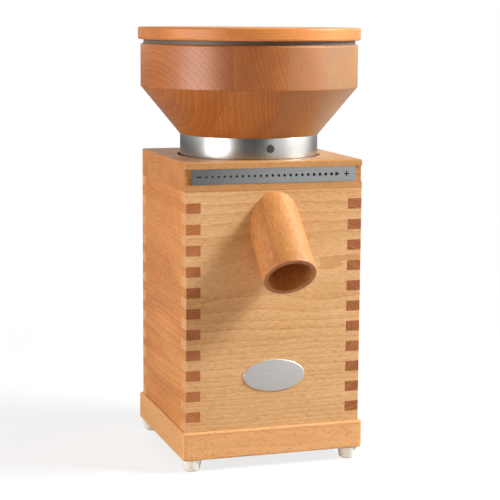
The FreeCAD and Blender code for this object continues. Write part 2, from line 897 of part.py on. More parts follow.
def hopper_bowl():
    """The turned wooden hopper: a cone, then a straight wall."""
    inner = hopper_radius - hopper_wall
    bore = throat_radius + throat_wall + slip_clearance
    outline = [(bore, hopper_base), (hopper_base_radius, hopper_base),
               (hopper_radius, hopper_knuckle), (hopper_radius, hopper_rim),
               (inner, hopper_rim), (inner, hopper_knuckle + bowl_shoulder_rise),
               (bowl_floor_radius, hopper_base + bowl_floor_rise),
               (bore, hopper_base + bowl_throat_rise)]
    bowl = turned(outline)
    bowl = rounded(bowl, hopper_rim_round,
                   lambda edge: is_circle_at(edge, hopper_radius, hopper_rim))
    bowl = rounded(bowl, hopper_inner_round, lambda edge: is_circle_at(edge, inner, hopper_rim))
    bowl = rounded(bowl, hopper_knuckle_round,
                   lambda edge: is_circle_at(edge, hopper_radius, hopper_knuckle))
    bowl = rounded(bowl, hopper_base_round,
                   lambda edge: is_circle_at(edge, hopper_base_radius, hopper_base))
    tools = []
    for x, y in ring_places(hopper_screw_circle, hopper_screw_count, hopper_screw_first_deg):
        tools.append(disc(hopper_screw_radius, hopper_base - cut_overrun, hopper_knuckle, x, y))
        tools.append(disc(hopper_screw_head_radius + slip_clearance, hopper_screw_seat(),
                          hopper_knuckle, x, y))
    return bowl.cut(tools)


# Stones and their carrier

def furrows(inner, outer, height):
    """Slanting furrows for a grinding face at this height."""
    furrow = block(inner, outer + cut_overrun, -furrow_width / 2, furrow_width / 2,
                   height - furrow_depth, height + furrow_depth)
    furrow.rotate(vec(inner, 0, height), vec(0, 0, 1), furrow_slant_deg)
    return around_z(furrow, furrow_count)


def upper_stone():
    """The standing stone: its eye widens into the grinding face."""
    face_inner = stone_radius - stone_face_width
    outline = [(throat_radius, holder_disc_bottom), (stone_radius, holder_disc_bottom),
               (stone_radius, upper_stone_bottom), (face_inner, upper_stone_bottom),
               (throat_radius, upper_stone_bottom + stone_dish_depth)]
    stone = turned(outline).cut(furrows(face_inner, stone_radius, upper_stone_bottom))
    end = holder_disc_top - stone_screw_length
    tools = [disc(stone_screw_radius, end, holder_disc_bottom + cut_overrun, x, y)
             for x, y in ring_places(stone_screw_circle, stone_screw_count, stone_screw_first_deg)]
    return stone.cut(tools)


def stone_screws():
    """Three screws down through the holder's disc into the upper stone."""
    return [screw_down(x, y, holder_disc_top, stone_screw_radius, stone_screw_length,
                       stone_screw_head_radius, stone_screw_head_height)
            for x, y in ring_places(stone_screw_circle, stone_screw_count, stone_screw_first_deg)]


def lower_stone():
    """The running stone, on the carrier."""
    face_inner = stone_radius - stone_face_width
    outline = [(lower_eye_radius, lower_stone_bottom), (stone_radius, lower_stone_bottom),
               (stone_radius, lower_stone_top), (face_inner, lower_stone_top),
               (lower_eye_radius, lower_stone_top - lower_dish_depth)]
    return turned(outline).cut(furrows(face_inner, stone_radius, lower_stone_top))


def stone_carrier():
    """The hub under the lower stone, with blades that sweep the flour to the duct."""
    body = [disc(carrier_disc_radius, carrier_bottom, lower_stone_bottom),
            disc(carrier_boss_radius, carrier_bottom, clamp_nut_seat)]
    blade = block(carrier_disc_radius - blade_thickness, chamber_radius - blade_tip_gap,
                  -blade_thickness / 2, blade_thickness / 2, chamber_floor + blade_floor_gap,
                  carrier_bottom + carrier_disc_thickness)
    body = fused(body + around_z(blade, blade_count))
    outside = tube(chamber_radius, stone_radius + slip_clearance, lower_stone_bottom,
                   chamber_floor + blade_floor_gap + blade_height)
    fins = [fin.common(outside) for fin in around_z(tall_blade(), blade_count)]
    body = fused([body] + fins)
    return body.cut(disc(shaft_radius, carrier_bottom - cut_overrun, lower_stone_top))


def tall_blade():
    """The outer part of a sweeper blade, beside the lower stone."""
    return block(stone_radius, chamber_radius - blade_tip_gap, -blade_thickness / 2,
                 blade_thickness / 2, lower_stone_bottom - carrier_disc_thickness,
                 chamber_floor + blade_floor_gap + blade_height)


def clamp_nut():
    """The domed nut that clamps the lower stone and spreads the grain."""
    base = clamp_nut_seat
    shoulder = base + clamp_nut_base
    top = base + clamp_nut_height
    nut = turned([(0, base), (clamp_nut_radius, base), (clamp_nut_radius, shoulder),
                  (clamp_nut_tip_radius, top), (0, top)])
    return nut.cut(disc(shaft_radius, base - cut_overrun, shaft_top))


# Motor

def motor_shaft():
    return disc(shaft_radius, shaft_bottom, shaft_top)


def rotor_core():
    """The laminated rotor on the shaft."""
    return tube(stator_bore_radius - air_gap, shaft_radius, stator_bottom, stator_top)


def motor_stator():
    """The laminated stator, held between the end bells."""
    tools = [disc(tie_bolt_radius, stator_bottom - cut_overrun, stator_top + cut_overrun, x, y)
             for x, y in tie_bolt_places()]
    return tube(motor_radius, stator_bore_radius, stator_bottom, stator_top).cut(tools)


def motor_windings():
    """The copper end turns above and below the stator."""
    upper = tube(winding_outer_radius, winding_inner_radius, stator_top, stator_top + winding_height)
    lower = tube(winding_outer_radius, winding_inner_radius, stator_bottom - winding_height,
                 stator_bottom)
    upper = rounded(upper, winding_round,
                    lambda edge: is_level_at(edge, stator_top + winding_height))
    lower = rounded(lower, winding_round,
                    lambda edge: is_level_at(edge, stator_bottom - winding_height))
    return [upper, lower]


def tie_bolt_places():
    return ring_places(tie_bolt_circle, tie_bolt_count, tie_bolt_first_deg)


def bell_vents(middle):
    """Windows through the wall of an end bell, for the cooling air."""
    step_deg = 360 / bell_vent_count
    window = block(motor_radius - 2 * motor_wall, motor_radius + cut_overrun, -bell_vent_width / 2,
                   bell_vent_width / 2, middle - bell_vent_height / 2,
                   middle + bell_vent_height / 2)
    return around_z(window, bell_vent_count, step_deg / 2)


def motor_top_bell():
    """The upper end bell, whose flange is screwed under the chamber."""
    seat_radius = bearing_radius + bearing_seat_wall
    body = fused([disc(motor_flange_radius, motor_flange_bottom, chamber_bottom),
                  disc(motor_radius, stator_top, motor_flange_bottom)])
    body = body.cut(disc(motor_radius - motor_wall, stator_top - cut_overrun, motor_flange_bottom))
    body = fused([body, disc(seat_radius, motor_flange_bottom - bearing_width, chamber_bottom)])
    low = motor_flange_bottom - bearing_width - cut_overrun
    tools = [disc(bearing_radius, low, motor_flange_bottom),
             disc(shaft_radius + shaft_passage_gap, low, chamber_bottom + cut_overrun)]
    for x, y in ring_places(motor_screw_circle, motor_screw_count, motor_screw_first_deg):
        tools.append(disc(motor_screw_radius, motor_flange_bottom - cut_overrun,
                          chamber_bottom + cut_overrun, x, y))
    for x, y in tie_bolt_places():
        tools.append(disc(tie_bolt_radius, stator_top - cut_overrun, motor_flange_bottom, x, y))
    return body.cut(tools + bell_vents(stator_top + top_bell_depth / 2))


def motor_bottom_bell():
    """The lower end bell with the lower bearing's seat."""
    seat_radius = bearing_radius + bearing_seat_wall
    plate_top_level = bottom_bell_bottom + bottom_bell_plate
    body = disc(motor_radius, bottom_bell_bottom, stator_bottom)
    body = body.cut(disc(motor_radius - motor_wall, plate_top_level, stator_bottom + cut_overrun))
    body = fused([body, disc(seat_radius, bottom_bell_bottom, plate_top_level + bearing_width)])
    tools = [disc(bearing_radius, plate_top_level, stator_bottom),
             disc(shaft_radius + shaft_passage_gap, bottom_bell_bottom - cut_overrun, stator_bottom)]
    for x, y in tie_bolt_places():
        tools.append(disc(tie_bolt_radius, bottom_bell_bottom - cut_overrun,
                          stator_bottom + cut_overrun, x, y))
    middle = (plate_top_level + stator_bottom) / 2
    return body.cut(tools + bell_vents(middle))


def ball_bearing(bottom):
    """One bearing, drawn as a ring on the shaft."""
    return tube(bearing_radius, shaft_radius + running_clearance, bottom, bottom + bearing_width)


def tie_bolts():
    """The long bolts that hold the bells and the stator together."""
    length = motor_flange_bottom - bottom_bell_bottom
    return [screw_up(x, y, bottom_bell_bottom, tie_bolt_radius, length,
                     tie_bolt_head_radius, tie_bolt_head_height)
            for x, y in tie_bolt_places()]


def motor_screws():
    """The screws that hold the motor under the chamber."""
    return [screw_up(x, y, motor_flange_bottom, motor_screw_radius, motor_screw_length,
                     motor_screw_head_radius, motor_screw_head_height)
            for x, y in ring_places(motor_screw_circle, motor_screw_count, motor_screw_first_deg)]


def cooling_fan():
    """The radial fan on the shaft's lower end."""
    plate_bottom_level = fan_top - fan_plate
    hub = disc(fan_hub_radius, fan_bottom, fan_top)
    plate = disc(fan_radius, plate_bottom_level, fan_top)
    blade = block(fan_hub_radius - fan_plate, fan_radius - fan_plate, -fan_blade_thickness / 2,
                  fan_blade_thickness / 2, fan_bottom, fan_top)
    body = fused([hub, plate] + around_z(blade, fan_blade_count))
    return body.cut(disc(shaft_radius, fan_bottom - cut_overrun, fan_top + cut_overrun))


def fan_clip():
    """The spring clip that keeps the fan on the shaft."""
    ring = tube(clip_radius, shaft_radius, fan_bottom - clip_thickness, fan_bottom)
    gap = block(0, clip_radius + cut_overrun, -shaft_radius / 2, shaft_radius / 2,
                fan_bottom - clip_thickness - cut_overrun, fan_bottom + cut_overrun)
    return ring.cut(gap)


# Capacitor

def capacitor_place():
    """The capacitor's axis, in the back right corner."""
    reach = capacitor_radius + capacitor_wall_gap
    return inner_right - reach, inner_back - reach


def capacitor_levels():
    top = plate_top - capacitor_top_drop
    return top - capacitor_length, top


def capacitor():
    low, high = capacitor_levels()
    x, y = capacitor_place()
    can = disc(capacitor_radius, low, high, x, y)
    return rounded(can, clip_band_thickness,
                   lambda edge: is_level_at(edge, low) or is_level_at(edge, high))


def clip_levels():
    """The bottom and top of the capacitor's clip."""
    low, high = capacitor_levels()
    middle = (low + high) / 2
    return middle - clip_band_height / 2, middle + clip_band_height / 2


def clip_screw_places():
    """The clip's screws, below and above its band, as (x, z)."""
    low, high = clip_levels()
    x = capacitor_place()[0]
    return [(x, low - clip_tab_tail / 2), (x, high + clip_tab_tail / 2)]


def clip_screw_end():
    return inner_back - clip_band_thickness + clip_screw_length


def capacitor_clip():
    """The sheet clip: a band round the can and a tab on the back board."""
    low, high = clip_levels()
    x, y = capacitor_place()
    band = disc(capacitor_radius + clip_band_thickness, low, high, x, y)
    tab = block(x - clip_tab_width / 2, x + clip_tab_width / 2, inner_back - clip_band_thickness,
                inner_back, low - clip_tab_tail, high + clip_tab_tail)
    bridge = block(x - clip_band_height / 2, x + clip_band_height / 2, y, inner_back, low, high)
    body = fused([band, tab, bridge])
    tools = [disc(capacitor_radius, low - cut_overrun, high + cut_overrun, x, y)]
    for screw_x, screw_z in clip_screw_places():
        tools.append(rod_y(clip_screw_radius, inner_back - clip_band_thickness - cut_overrun,
                           inner_back + cut_overrun, screw_x, screw_z))
    return body.cut(tools)


def clip_screws():
    """Two small screws through the clip's tab into the back board."""
    made = []
    face = inner_back - clip_band_thickness
    for x, z in clip_screw_places():
        head = rod_y(clip_screw_head_radius, face - clip_screw_head_height, face, x, z)
        shank = rod_y(clip_screw_radius, face - clip_screw_head_height / 2, clip_screw_end(), x, z)
        made.append(fused([head, shank]))
    return made


# Rocker switch

def switch_height():
    return plinth_top + switch_rise


def switch_block(grow, y0, y1):
    """The switch body's outline, grown by a clearance."""
    half_x = switch_body_width / 2 + grow
    half_z = switch_body_height / 2 + grow
    z = switch_height()
    return block(switch_offset - half_x, switch_offset + half_x, y0, y1, z - half_z, z + half_z)


def rocker_pivot():
    """The pivot's y, just inside the bezel's front."""
    return case_back + switch_bezel_thickness - rocker_pivot_sink


def switch_frame():
    """The switch's body and bezel, with the well for the rocker."""
    z = switch_height()
    body = switch_block(0, case_back - switch_body_depth, case_back + switch_bezel_thickness)
    bezel = switch_block(switch_bezel_margin, case_back, case_back + switch_bezel_thickness)
    frame = fused([body, bezel])
    half = rocker_width / 2 + rocker_gap
    reach = rocker_radius + rocker_gap
    pivot = rocker_pivot()
    well = block(switch_offset - half, switch_offset + half, pivot,
                 case_back + switch_bezel_thickness + cut_overrun, z - reach, z + reach)
    barrel = rod_x(reach, switch_offset - half, switch_offset + half, pivot, z)
    floor = block(switch_offset - half, switch_offset + half, pivot - rocker_well_depth, pivot,
                  z - reach, z + reach)
    pin_reach = half + rocker_pin_reach + rocker_gap
    pins = rod_x(rocker_pin_radius + running_clearance, switch_offset - pin_reach,
                 switch_offset + pin_reach, pivot, z)
    return frame.cut([well, barrel.common(floor), pins])


def switch_rocker():
    """The rocker, tilted to off at rest: its two facets meet over the pivot."""
    z = switch_height()
    pivot = rocker_pivot()
    half = rocker_width / 2
    drop = rocker_radius * tan(radians(rocker_facet_deg))
    corners = [(pivot - rocker_back, -rocker_radius), (pivot + rocker_front - drop, -rocker_radius),
               (pivot + rocker_front, 0), (pivot + rocker_front - drop, rocker_radius),
               (pivot - rocker_back, rocker_radius)]
    points = [vec(switch_offset - half, y, z + rise) for y, rise in corners]
    face = Part.Face(Part.makePolygon(points + points[:1]))
    wedge = face.extrude(vec(rocker_width, 0, 0))
    cap = wedge.common(rod_x(rocker_radius, switch_offset - half, switch_offset + half, pivot, z))
    pin_reach = half + rocker_gap + rocker_pin_reach
    pins = rod_x(rocker_pin_radius, switch_offset - pin_reach, switch_offset + pin_reach, pivot, z)
    body = fused([cap, pins])
    body.rotate(vec(0, pivot, z), vec(1, 0, 0), rocker_facet_deg)
    return body


# Cord gland

def gland_height():
    return plinth_top + gland_rise


def cord_gland():
    """The gland's flange, barrel and nose, with an empty bore."""
    z = gland_height()
    inner_end = inner_back - gland_nut_thickness - slip_clearance
    outer_face = case_back + gland_flange_thickness
    nose_end = outer_face + gland_nose_length
    barrel = rod_y(gland_barrel_radius, inner_end, case_back, gland_offset, z)
    flange = rod_y(gland_flange_radius, case_back, outer_face, gland_offset, z)
    nose = Part.makeCone(gland_flange_radius - slip_clearance, gland_nose_radius, gland_nose_length,
                         vec(gland_offset, outer_face, z), vec(0, 1, 0))
    bore = rod_y(gland_bore_radius, inner_end - cut_overrun, nose_end + cut_overrun, gland_offset, z)
    return fused([barrel, flange, nose]).cut(bore)


def gland_nut():
    """The six-sided nut behind the back board."""
    z = gland_height()
    front = inner_back - gland_nut_thickness
    points = [vec(gland_offset + across, front, z + up)
              for across, up in ring_places(gland_nut_radius, gland_nut_sides, 0)]
    nut = Part.Face(Part.makePolygon(points + points[:1])).extrude(vec(0, gland_nut_thickness, 0))
    return nut.cut(rod_y(gland_barrel_radius, front - cut_overrun, inner_back + cut_overrun,
                         gland_offset, z))


# Lid

def lid():
    """The turned wooden lid."""
    body = disc(lid_radius, lid_bottom, lid_top)
    return rounded(body, lid_round,
                   lambda edge: is_level_at(edge, lid_bottom) or is_level_at(edge, lid_top))


def lid_ring():
    """The dark ring under the lid: a seat on the hopper's rim and a spigot inside it."""
    spigot = hopper_radius - hopper_wall - lid_spigot_clearance
    return turned([(lid_ring_inner_radius, hopper_rim - lid_spigot_depth),
                   (spigot, hopper_rim - lid_spigot_depth), (spigot, hopper_rim),
                   (lid_ring_radius, hopper_rim), (lid_ring_radius, lid_bottom),
                   (lid_ring_inner_radius, lid_bottom)])


# Output

def pieces():
    """Every piece of the mill under its name."""
    made = dict(plinth_rails())
    made.update({
        "bottom_board": bottom_board(),
        "feet": feet(),
        "foot_screws": foot_screws(),
        "plinth_screws": plinth_screws(),
        "bottom_board_screws": board_screws(),
        "front_panel": front_panel(),
        "back_panel": back_panel(),
        "left_panel": side_panel(-1),
        "right_panel": side_panel(1),
        "top_plate": top_plate(),
        "scale_strip": scale_strip(),
        "name_plate": name_plate(),
        "spout": spout(),
        "milling_chamber": milling_chamber(),
        "chamber_screws": chamber_screws(),
        "shaft_seal": shaft_seal(),
        "dust_seal": dust_seal(),
        "adjusting_collar": adjusting_collar(),
        "marker_dot": marker_dot(),
        "stone_holder": stone_holder(),
        "guard_grid": guard_grid(),
        "hopper_bowl": hopper_bowl(),
        "hopper_screws": hopper_screws(),
        "upper_stone": upper_stone(),
        "stone_screws": stone_screws(),
        "lower_stone": lower_stone(),
        "stone_carrier": stone_carrier(),
        "clamp_nut": clamp_nut(),
        "motor_shaft": motor_shaft(),
        "rotor_core": rotor_core(),
        "motor_stator": motor_stator(),
        "motor_windings": motor_windings(),
        "motor_top_bell": motor_top_bell(),
        "motor_bottom_bell": motor_bottom_bell(),
        "upper_bearing": ball_bearing(motor_flange_bottom - bearing_width),
        "lower_bearing": ball_bearing(bottom_bell_bottom + bottom_bell_plate),
        "tie_bolts": tie_bolts(),
        "motor_screws": motor_screws(),
        "cooling_fan": cooling_fan(),
        "fan_clip": fan_clip(),
        "capacitor": capacitor(),
        "capacitor_clip": capacitor_clip(),
        "clip_screws": clip_screws(),
        "switch_frame": switch_frame(),
        "switch_rocker": switch_rocker(),
        "cord_gland": cord_gland(),
        "gland_nut": gland_nut(),
        "lid": lid(),
        "lid_ring": lid_ring(),
    })
    return made


def solids_of(shape):
    """The solids in one piece or in a list of like pieces."""
    shapes = shape if isinstance(shape, list) else [shape]
    return [solid for part in shapes for solid in part.Solids]


os.makedirs("parts", exist_ok=True)
for name, shape in pieces().items():
    found = solids_of(shape)
    whole = found[0] if len(found) == 1 else Part.makeCompound(found)
    whole.exportStep("parts/" + name + ".step")
    sound = all(solid.isValid() for solid in found)
    print(name, "solids", len(found), "valid", sound, "volume", round(whole.Volume))
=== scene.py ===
# %% [markdown]
# # A grain mill in beech and steel
#
# The real thing is an electric mill for the kitchen table: a finger-jointed beech case, a turned hopper on a steel
# collar and a wooden spout. The solids of every piece are already there, in metres, with the floor at zero, +Z up and
# the front facing -Y. This lesson lights them and gives every piece its finish. It also makes the pieces anew whose
# fine form the solids leave out: the steel collar and its plug, the enamel of the scale, the oval plate, the feet, the
# cross-headed screws and the marks on the switch.

# %% Load the solids
import bmesh
import bpy
import numpy as np
from math import cos, pi, radians, sin, tan
from mathutils import Matrix, Vector


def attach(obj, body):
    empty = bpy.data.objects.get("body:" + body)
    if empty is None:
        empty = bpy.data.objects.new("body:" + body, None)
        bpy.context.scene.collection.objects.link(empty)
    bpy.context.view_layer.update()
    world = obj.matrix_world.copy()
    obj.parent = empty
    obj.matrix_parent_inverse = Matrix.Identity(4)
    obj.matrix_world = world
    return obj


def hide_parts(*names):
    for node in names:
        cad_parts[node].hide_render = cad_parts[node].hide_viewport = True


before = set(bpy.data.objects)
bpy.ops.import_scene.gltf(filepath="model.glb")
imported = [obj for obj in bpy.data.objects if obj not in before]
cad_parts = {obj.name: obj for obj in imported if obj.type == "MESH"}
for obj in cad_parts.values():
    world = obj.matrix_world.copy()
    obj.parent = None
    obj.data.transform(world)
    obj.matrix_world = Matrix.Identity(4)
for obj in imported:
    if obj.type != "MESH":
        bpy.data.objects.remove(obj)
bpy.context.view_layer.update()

# %% [markdown]
# ## The camera
#
# A camera can be placed by eye, but an object with straight edges tells where it was seen from. Here the place comes
# from the corners of the case and the rims of the hopper. It stands 1.4 m away, a little left of the front, and looks
# down by nine degrees. A long lens keeps the uprights nearly parallel.

# %% Place the camera
camera_place = Vector((-0.4182, -1.2981, 0.3913))
camera_turn, camera_tilt, camera_roll = radians(17.937), radians(-8.746), radians(0.403)
lens_in_picture_widths = 3.019

camera_data = bpy.data.cameras.new("camera")
camera_data.lens = lens_in_picture_widths * camera_data.sensor_width
camera = bpy.data.objects.new("camera", camera_data)
bpy.context.scene.collection.objects.link(camera)
camera.matrix_world = (Matrix.Translation(camera_place) @ Matrix.Rotation(-camera_turn, 4, "Z")
                       @ Matrix.Rotation(pi / 2 + camera_tilt, 4, "X") @ Matrix.Rotation(camera_roll, 4, "Z"))
bpy.context.scene.camera = camera
bpy.context.scene.view_settings.view_transform = "Standard"
print("lens", round(camera_data.lens, 1), "mm, seen from", [round(c, 3) for c in camera_place])

# %% [markdown]
# ## Sums on sockets
#
# A material is a network of nodes, and most of its nodes are plain sums. Wired one by one they hide what is meant, so
# a small class stands for a socket and lets Python's own signs add the Math nodes. Any other node, such as a noise or
# a mix, comes from one method.

# %% A socket that can be added, multiplied and compared
class Wire:
    """One socket in a material. Sums on it add Math nodes, and node() adds any other node."""

    def __init__(self, tree, socket=None):
        self.tree, self.socket = tree, socket

    def node(self, kind, inputs=(), out=0, **settings):
        """Adds a node, gives it its settings, then the values or links of its inputs, by number or name."""
        made = self.tree.nodes.new("ShaderNode" + kind)
        for name, value in settings.items():
            setattr(made, name, value)
        for key, value in dict(inputs).items():
            if isinstance(value, Wire):
                self.tree.links.new(value.socket, made.inputs[key])
            else:
                made.inputs[key].default_value = value
        return Wire(self.tree, made.outputs[out] if made.outputs else None)

    def math(self, operation, *values):
        """One Math node on numbers or wires."""
        return self.node("Math", enumerate(values), operation=operation)

    def __add__(self, other):
        return self.math("ADD", self, other)

    def __sub__(self, other):
        return self.math("SUBTRACT", self, other)

    def __rsub__(self, other):
        return self.math("SUBTRACT", other, self)

    def __mul__(self, other):
        return self.math("MULTIPLY", self, other)

    def __pow__(self, other):
        return self.math("POWER", self, other)

    def __gt__(self, other):
        return self.math("GREATER_THAN", self, other)

    def __abs__(self):
        return self.math("ABSOLUTE", self)

    __radd__, __rmul__ = __add__, __mul__

    def rise(self, low, high):
        """A smooth step from 0 at low to 1 at high."""
        return self.node("MapRange", {0: self, 1: low, 2: high}, interpolation_type="SMOOTHSTEP")

    def most(self, other):
        """The greater of the two."""
        return self.math("MAXIMUM", self, other)

    def dot(self, direction):
        """How far this vector reaches in a direction."""
        return self.node("VectorMath", {0: self, 1: direction}, out=1, operation="DOT_PRODUCT")

    def part(self, axis):
        """The x, y or z of this vector, for axis 0, 1 or 2."""
        return self.node("SeparateXYZ", {0: self}, out=axis)

    def vector(self, x, y, z):
        """A vector of three numbers or wires."""
        return self.node("CombineXYZ", {0: x, 1: y, 2: z})

    def noise(self, scale=1.0, detail=2.0, roughness=0.5, out=0):
        """Cloudy noise around 0.5, read at this vector. Output 1 is a colour of three such noises."""
        settings = {"Vector": self, "Scale": scale, "Detail": detail, "Roughness": roughness}
        return self.node("TexNoise", settings, out=out)

    def cells(self, scale=1.0, out=0):
        """A Voronoi pattern read at this vector: output 0 is the distance to a cell's middle, 1 the cell's colour."""
        return self.node("TexVoronoi", {"Vector": self, "Scale": scale, "Randomness": 1.0}, out=out)

    def between(self, low, high):
        """The colour at this share of the way from low to high."""
        return self.node("Mix", {0: self, 6: low, 7: high}, out=2, data_type="RGBA")

    def blend(self, other, share):
        """This colour, mixed with another by a share."""
        return share.between(self, other)


# %% Mix a colour, open a material and close it
def paint(red, green, blue):
    """The linear colour of a screen colour from 0 to 255: (c + 0.055) / 1.055 to the power 2.4."""
    return tuple(((c / 255 + 0.055) / 1.055) ** 2.4 for c in (red, green, blue)) + (1.0,)


def new_material(name):
    """An empty material, as (material, its first wire, its point in millimetres, its normal)."""
    material = bpy.data.materials.new(name)
    material.use_nodes = True
    material.node_tree.nodes.clear()
    start = Wire(material.node_tree)
    place = start.node("TexCoord", out="Object")
    point = start.node("VectorMath", {0: place, 3: 1000.0}, operation="SCALE")
    return material, start, point, start.node("TexCoord", out="Normal")


def close_material(start, colour, roughness, height=None, depth=0.0001, bump=0.5, **constants):
    """Ends a material in one surface shader. Height is a wire in units of depth, in metres."""
    inputs = {"Base Color": colour, "Roughness": roughness}
    if height is not None:
        inputs["Normal"] = start.node("Bump", {"Strength": bump, "Distance": depth, "Height": height})
    inputs.update({name.replace("_", " "): value for name, value in constants.items()})
    shader = start.node("BsdfPrincipled", inputs)
    start.node("OutputMaterial", {0: shader})


print("red 200 is", round(paint(200, 0, 0)[0], 3), "in linear light")

# %% [markdown]
# ## The studio
#
# The key light is a small soft box, high on the right, and it throws the spout's soft shadow down to the left. Two
# weak boxes fill the left side and one fills the back. A last one, low in front and amber, warms the shadows, as light
# that has met wood before does.
#
# A lamp does two things: it lights matt surfaces and it shows in shiny ones. The two seldom ask for one strength, so
# each is a lamp of its own. The shine on the left draws the bright band on the steel collar. Metal also shows what
# stands round it, so dark cards in front and behind give it its dark bands. The cards show in reflections alone.
#
# The floor is white paper. Near the mill it keeps its shadow, and further out it turns into plain white light, so no
# horizon shows.

# %% Light the studio
middle = Vector((0, 0, 0.19))  # halfway up the mill


def outward(azimuth, elevation):
    """A direction from the mill: azimuth in degrees to the right of the front, elevation above the table."""
    a, e = radians(azimuth), radians(elevation)
    return Vector((sin(a) * cos(e), -cos(a) * cos(e), sin(e)))


def soft_box(name, azimuth, elevation, distance, size, glow, colour=(1, 1, 1), matt=True, mirror=True, tall=None):
    """An area lamp that faces the mill: square, or as tall as told. Glow is how bright it looks.

    Its power is glow times pi times its area. Matt and mirror say whether matt surfaces take its light and whether
    reflections show it.
    """
    tall = tall or size
    data = bpy.data.lights.new(name, "AREA")
    data.shape, data.size, data.size_y, data.color = "RECTANGLE", size, tall, colour
    data.energy = glow * pi * size * tall
    lamp = bpy.data.objects.new(name, data)
    bpy.context.scene.collection.objects.link(lamp)
    lamp.location = middle + outward(azimuth, elevation) * distance
    lamp.rotation_euler = outward(azimuth, elevation).to_track_quat("Z", "Y").to_euler()
    lamp.visible_camera, lamp.visible_diffuse, lamp.visible_glossy = False, matt, mirror
    print(name, "power", round(data.energy, 1), "W")


daylight, lamplight, amber = (0.93, 0.98, 1.0), (1.0, 0.92, 0.84), (1.0, 0.5, 0.22)
# Each lamp: azimuth and elevation in degrees, distance and size in metres, glow.
soft_box("key_box", 65, 35, 1.6, 0.48, 63, colour=daylight, mirror=False)
soft_box("key_shine", 68, 33, 1.5, 0.45, 60, matt=False)
soft_box("left_box", -72, 12, 1.4, 0.8, 2.2, colour=lamplight, mirror=False)
soft_box("left_shine", -70, -2, 1.3, 0.76, 10.0, matt=False, tall=0.42)
soft_box("left_wash", -90, 12, 1.5, 1.0, 4.2, colour=lamplight, mirror=False)
soft_box("right_shine", 70, 4, 1.7, 1.5, 0.85, matt=False)
soft_box("back_wash", 180, 10, 1.6, 1.0, 3.5, mirror=False)
soft_box("warm_front", -15, 12, 1.9, 1.6, 0.75, colour=amber, mirror=False)

# %% Fill the world with plain white
# The camera and mirrors see white, which fades to a fifth overhead for mirrors, as under a studio's dark ceiling.
# Matt surfaces get a faint warm light.
faint_light, ceiling_dims_by = 0.045, 0.8
white = (1.0, 1.0, 1.0, 1.0)
world = bpy.data.worlds.new("studio")
world.use_nodes = True
world.node_tree.nodes.clear()
sky = Wire(world.node_tree)
upward = sky.node("TexCoord", out="Generated").part(2)
brightness = 1 - ceiling_dims_by * upward.rise(0.35, 0.65) * (1 - sky.node("LightPath", out="Is Camera Ray"))
soft = sky.node("Background", {0: (1.0, 0.97, 0.94, 1.0), 1: faint_light})
plain = sky.node("Background", {0: white, 1: brightness})
camera_ray, glossy_ray, clear_ray = (sky.node("LightPath", out="Is " + kind + " Ray")
                                     for kind in ("Camera", "Glossy", "Transmission"))
sees_white = camera_ray.most(glossy_ray).most(clear_ray)
sky.node("OutputWorld", {0: sky.node("MixShader", {0: sees_white, 1: soft, 2: plain})})
bpy.context.scene.world = world
print("world with", len(world.node_tree.nodes), "nodes")

# %% [markdown]
# ## Surfaces from numbers
#
# A mesh can be pushed and pulled by hand, or worked out as a grid of points. A grid is quick and exact: two numbers
# run over the surface, numpy works out every point at once, and the faces are the squares between neighbours.

# %% Make a mesh from a grid of points
def grid_faces(rows, columns, close_rows=False, close_columns=False):
    """The squares of a grid of points, row by row. A closed direction joins its last points to its first."""
    row = np.arange(rows if close_rows else rows - 1)
    column = np.arange(columns if close_columns else columns - 1)
    a, b = np.meshgrid(row, column, indexing="ij")
    c, d = (a + 1) % rows, (b + 1) % columns
    return np.stack([a * columns + b, a * columns + d, c * columns + d, c * columns + b], -1).reshape(-1, 4)


def make_object(name, points, faces, material, sharp=35):
    """An object from points in millimetres. Doubles are merged, so poles close, and faces turn outward."""
    mesh = bpy.data.meshes.new(name)
    mesh.from_pydata((np.asarray(points) / 1000).tolist(), [], np.asarray(faces).tolist())
    shape = bmesh.new()
    shape.from_mesh(mesh)
    bmesh.ops.remove_doubles(shape, verts=shape.verts, dist=1e-7)
    bmesh.ops.recalc_face_normals(shape, faces=shape.faces)
    shape.to_mesh(mesh)
    shape.free()
    mesh.shade_smooth()
    mesh.set_sharp_from_angle(angle=radians(sharp))
    mesh.materials.append(material)
    made = bpy.data.objects.new(name, mesh)
    bpy.context.scene.collection.objects.link(made)
    return made


def eased(corners, steps=6):
    """A closed profile of (x, y, round) corners with each corner rounded by an arc.

    The arc's centre lies where both edges, moved inward by its radius, meet, and the arc runs between the feet of
    that centre on the two edges. A round of 0 keeps the corner.
    """
    corners = np.asarray(corners, float)
    line = []
    for before, here, after in zip(np.roll(corners, 1, 0), corners, np.roll(corners, -1, 0)):
        into, out = here[:2] - before[:2], after[:2] - here[:2]
        into, out = into / np.hypot(*into), out / np.hypot(*out)
        bend = np.arctan2(into[0] * out[1] - into[1] * out[0], into @ out)
        reach = here[2] * np.tan(abs(bend) / 2)
        if reach < 1e-6:
            line.append(here[:2][None])
            continue
        start = here[:2] - into * reach
        normal = np.array([-into[1], into[0]]) * np.sign(bend)
        turn = np.linspace(0, abs(bend), steps + 1)[:, None]
        line.append(start + here[2] * (np.sin(turn) * into + (1 - np.cos(turn)) * normal))
    return np.concatenate(line)


def turned(profile, around=192):
    """A profile of (radius, height) carried round the Z axis: x = r cos t, y = r sin t. It gives points and faces."""
    turn = np.linspace(0, 2 * pi, around, endpoint=False)[:, None]
    radius, height = profile[:, 0], profile[:, 1]
    points = np.stack([radius * np.cos(turn), radius * np.sin(turn), height + 0 * turn], -1)
    return points.reshape(-1, 3), grid_faces(around, len(profile), close_rows=True, close_columns=True)


print("a grid of 3 by 4 points has", len(grid_faces(3, 4)), "faces")

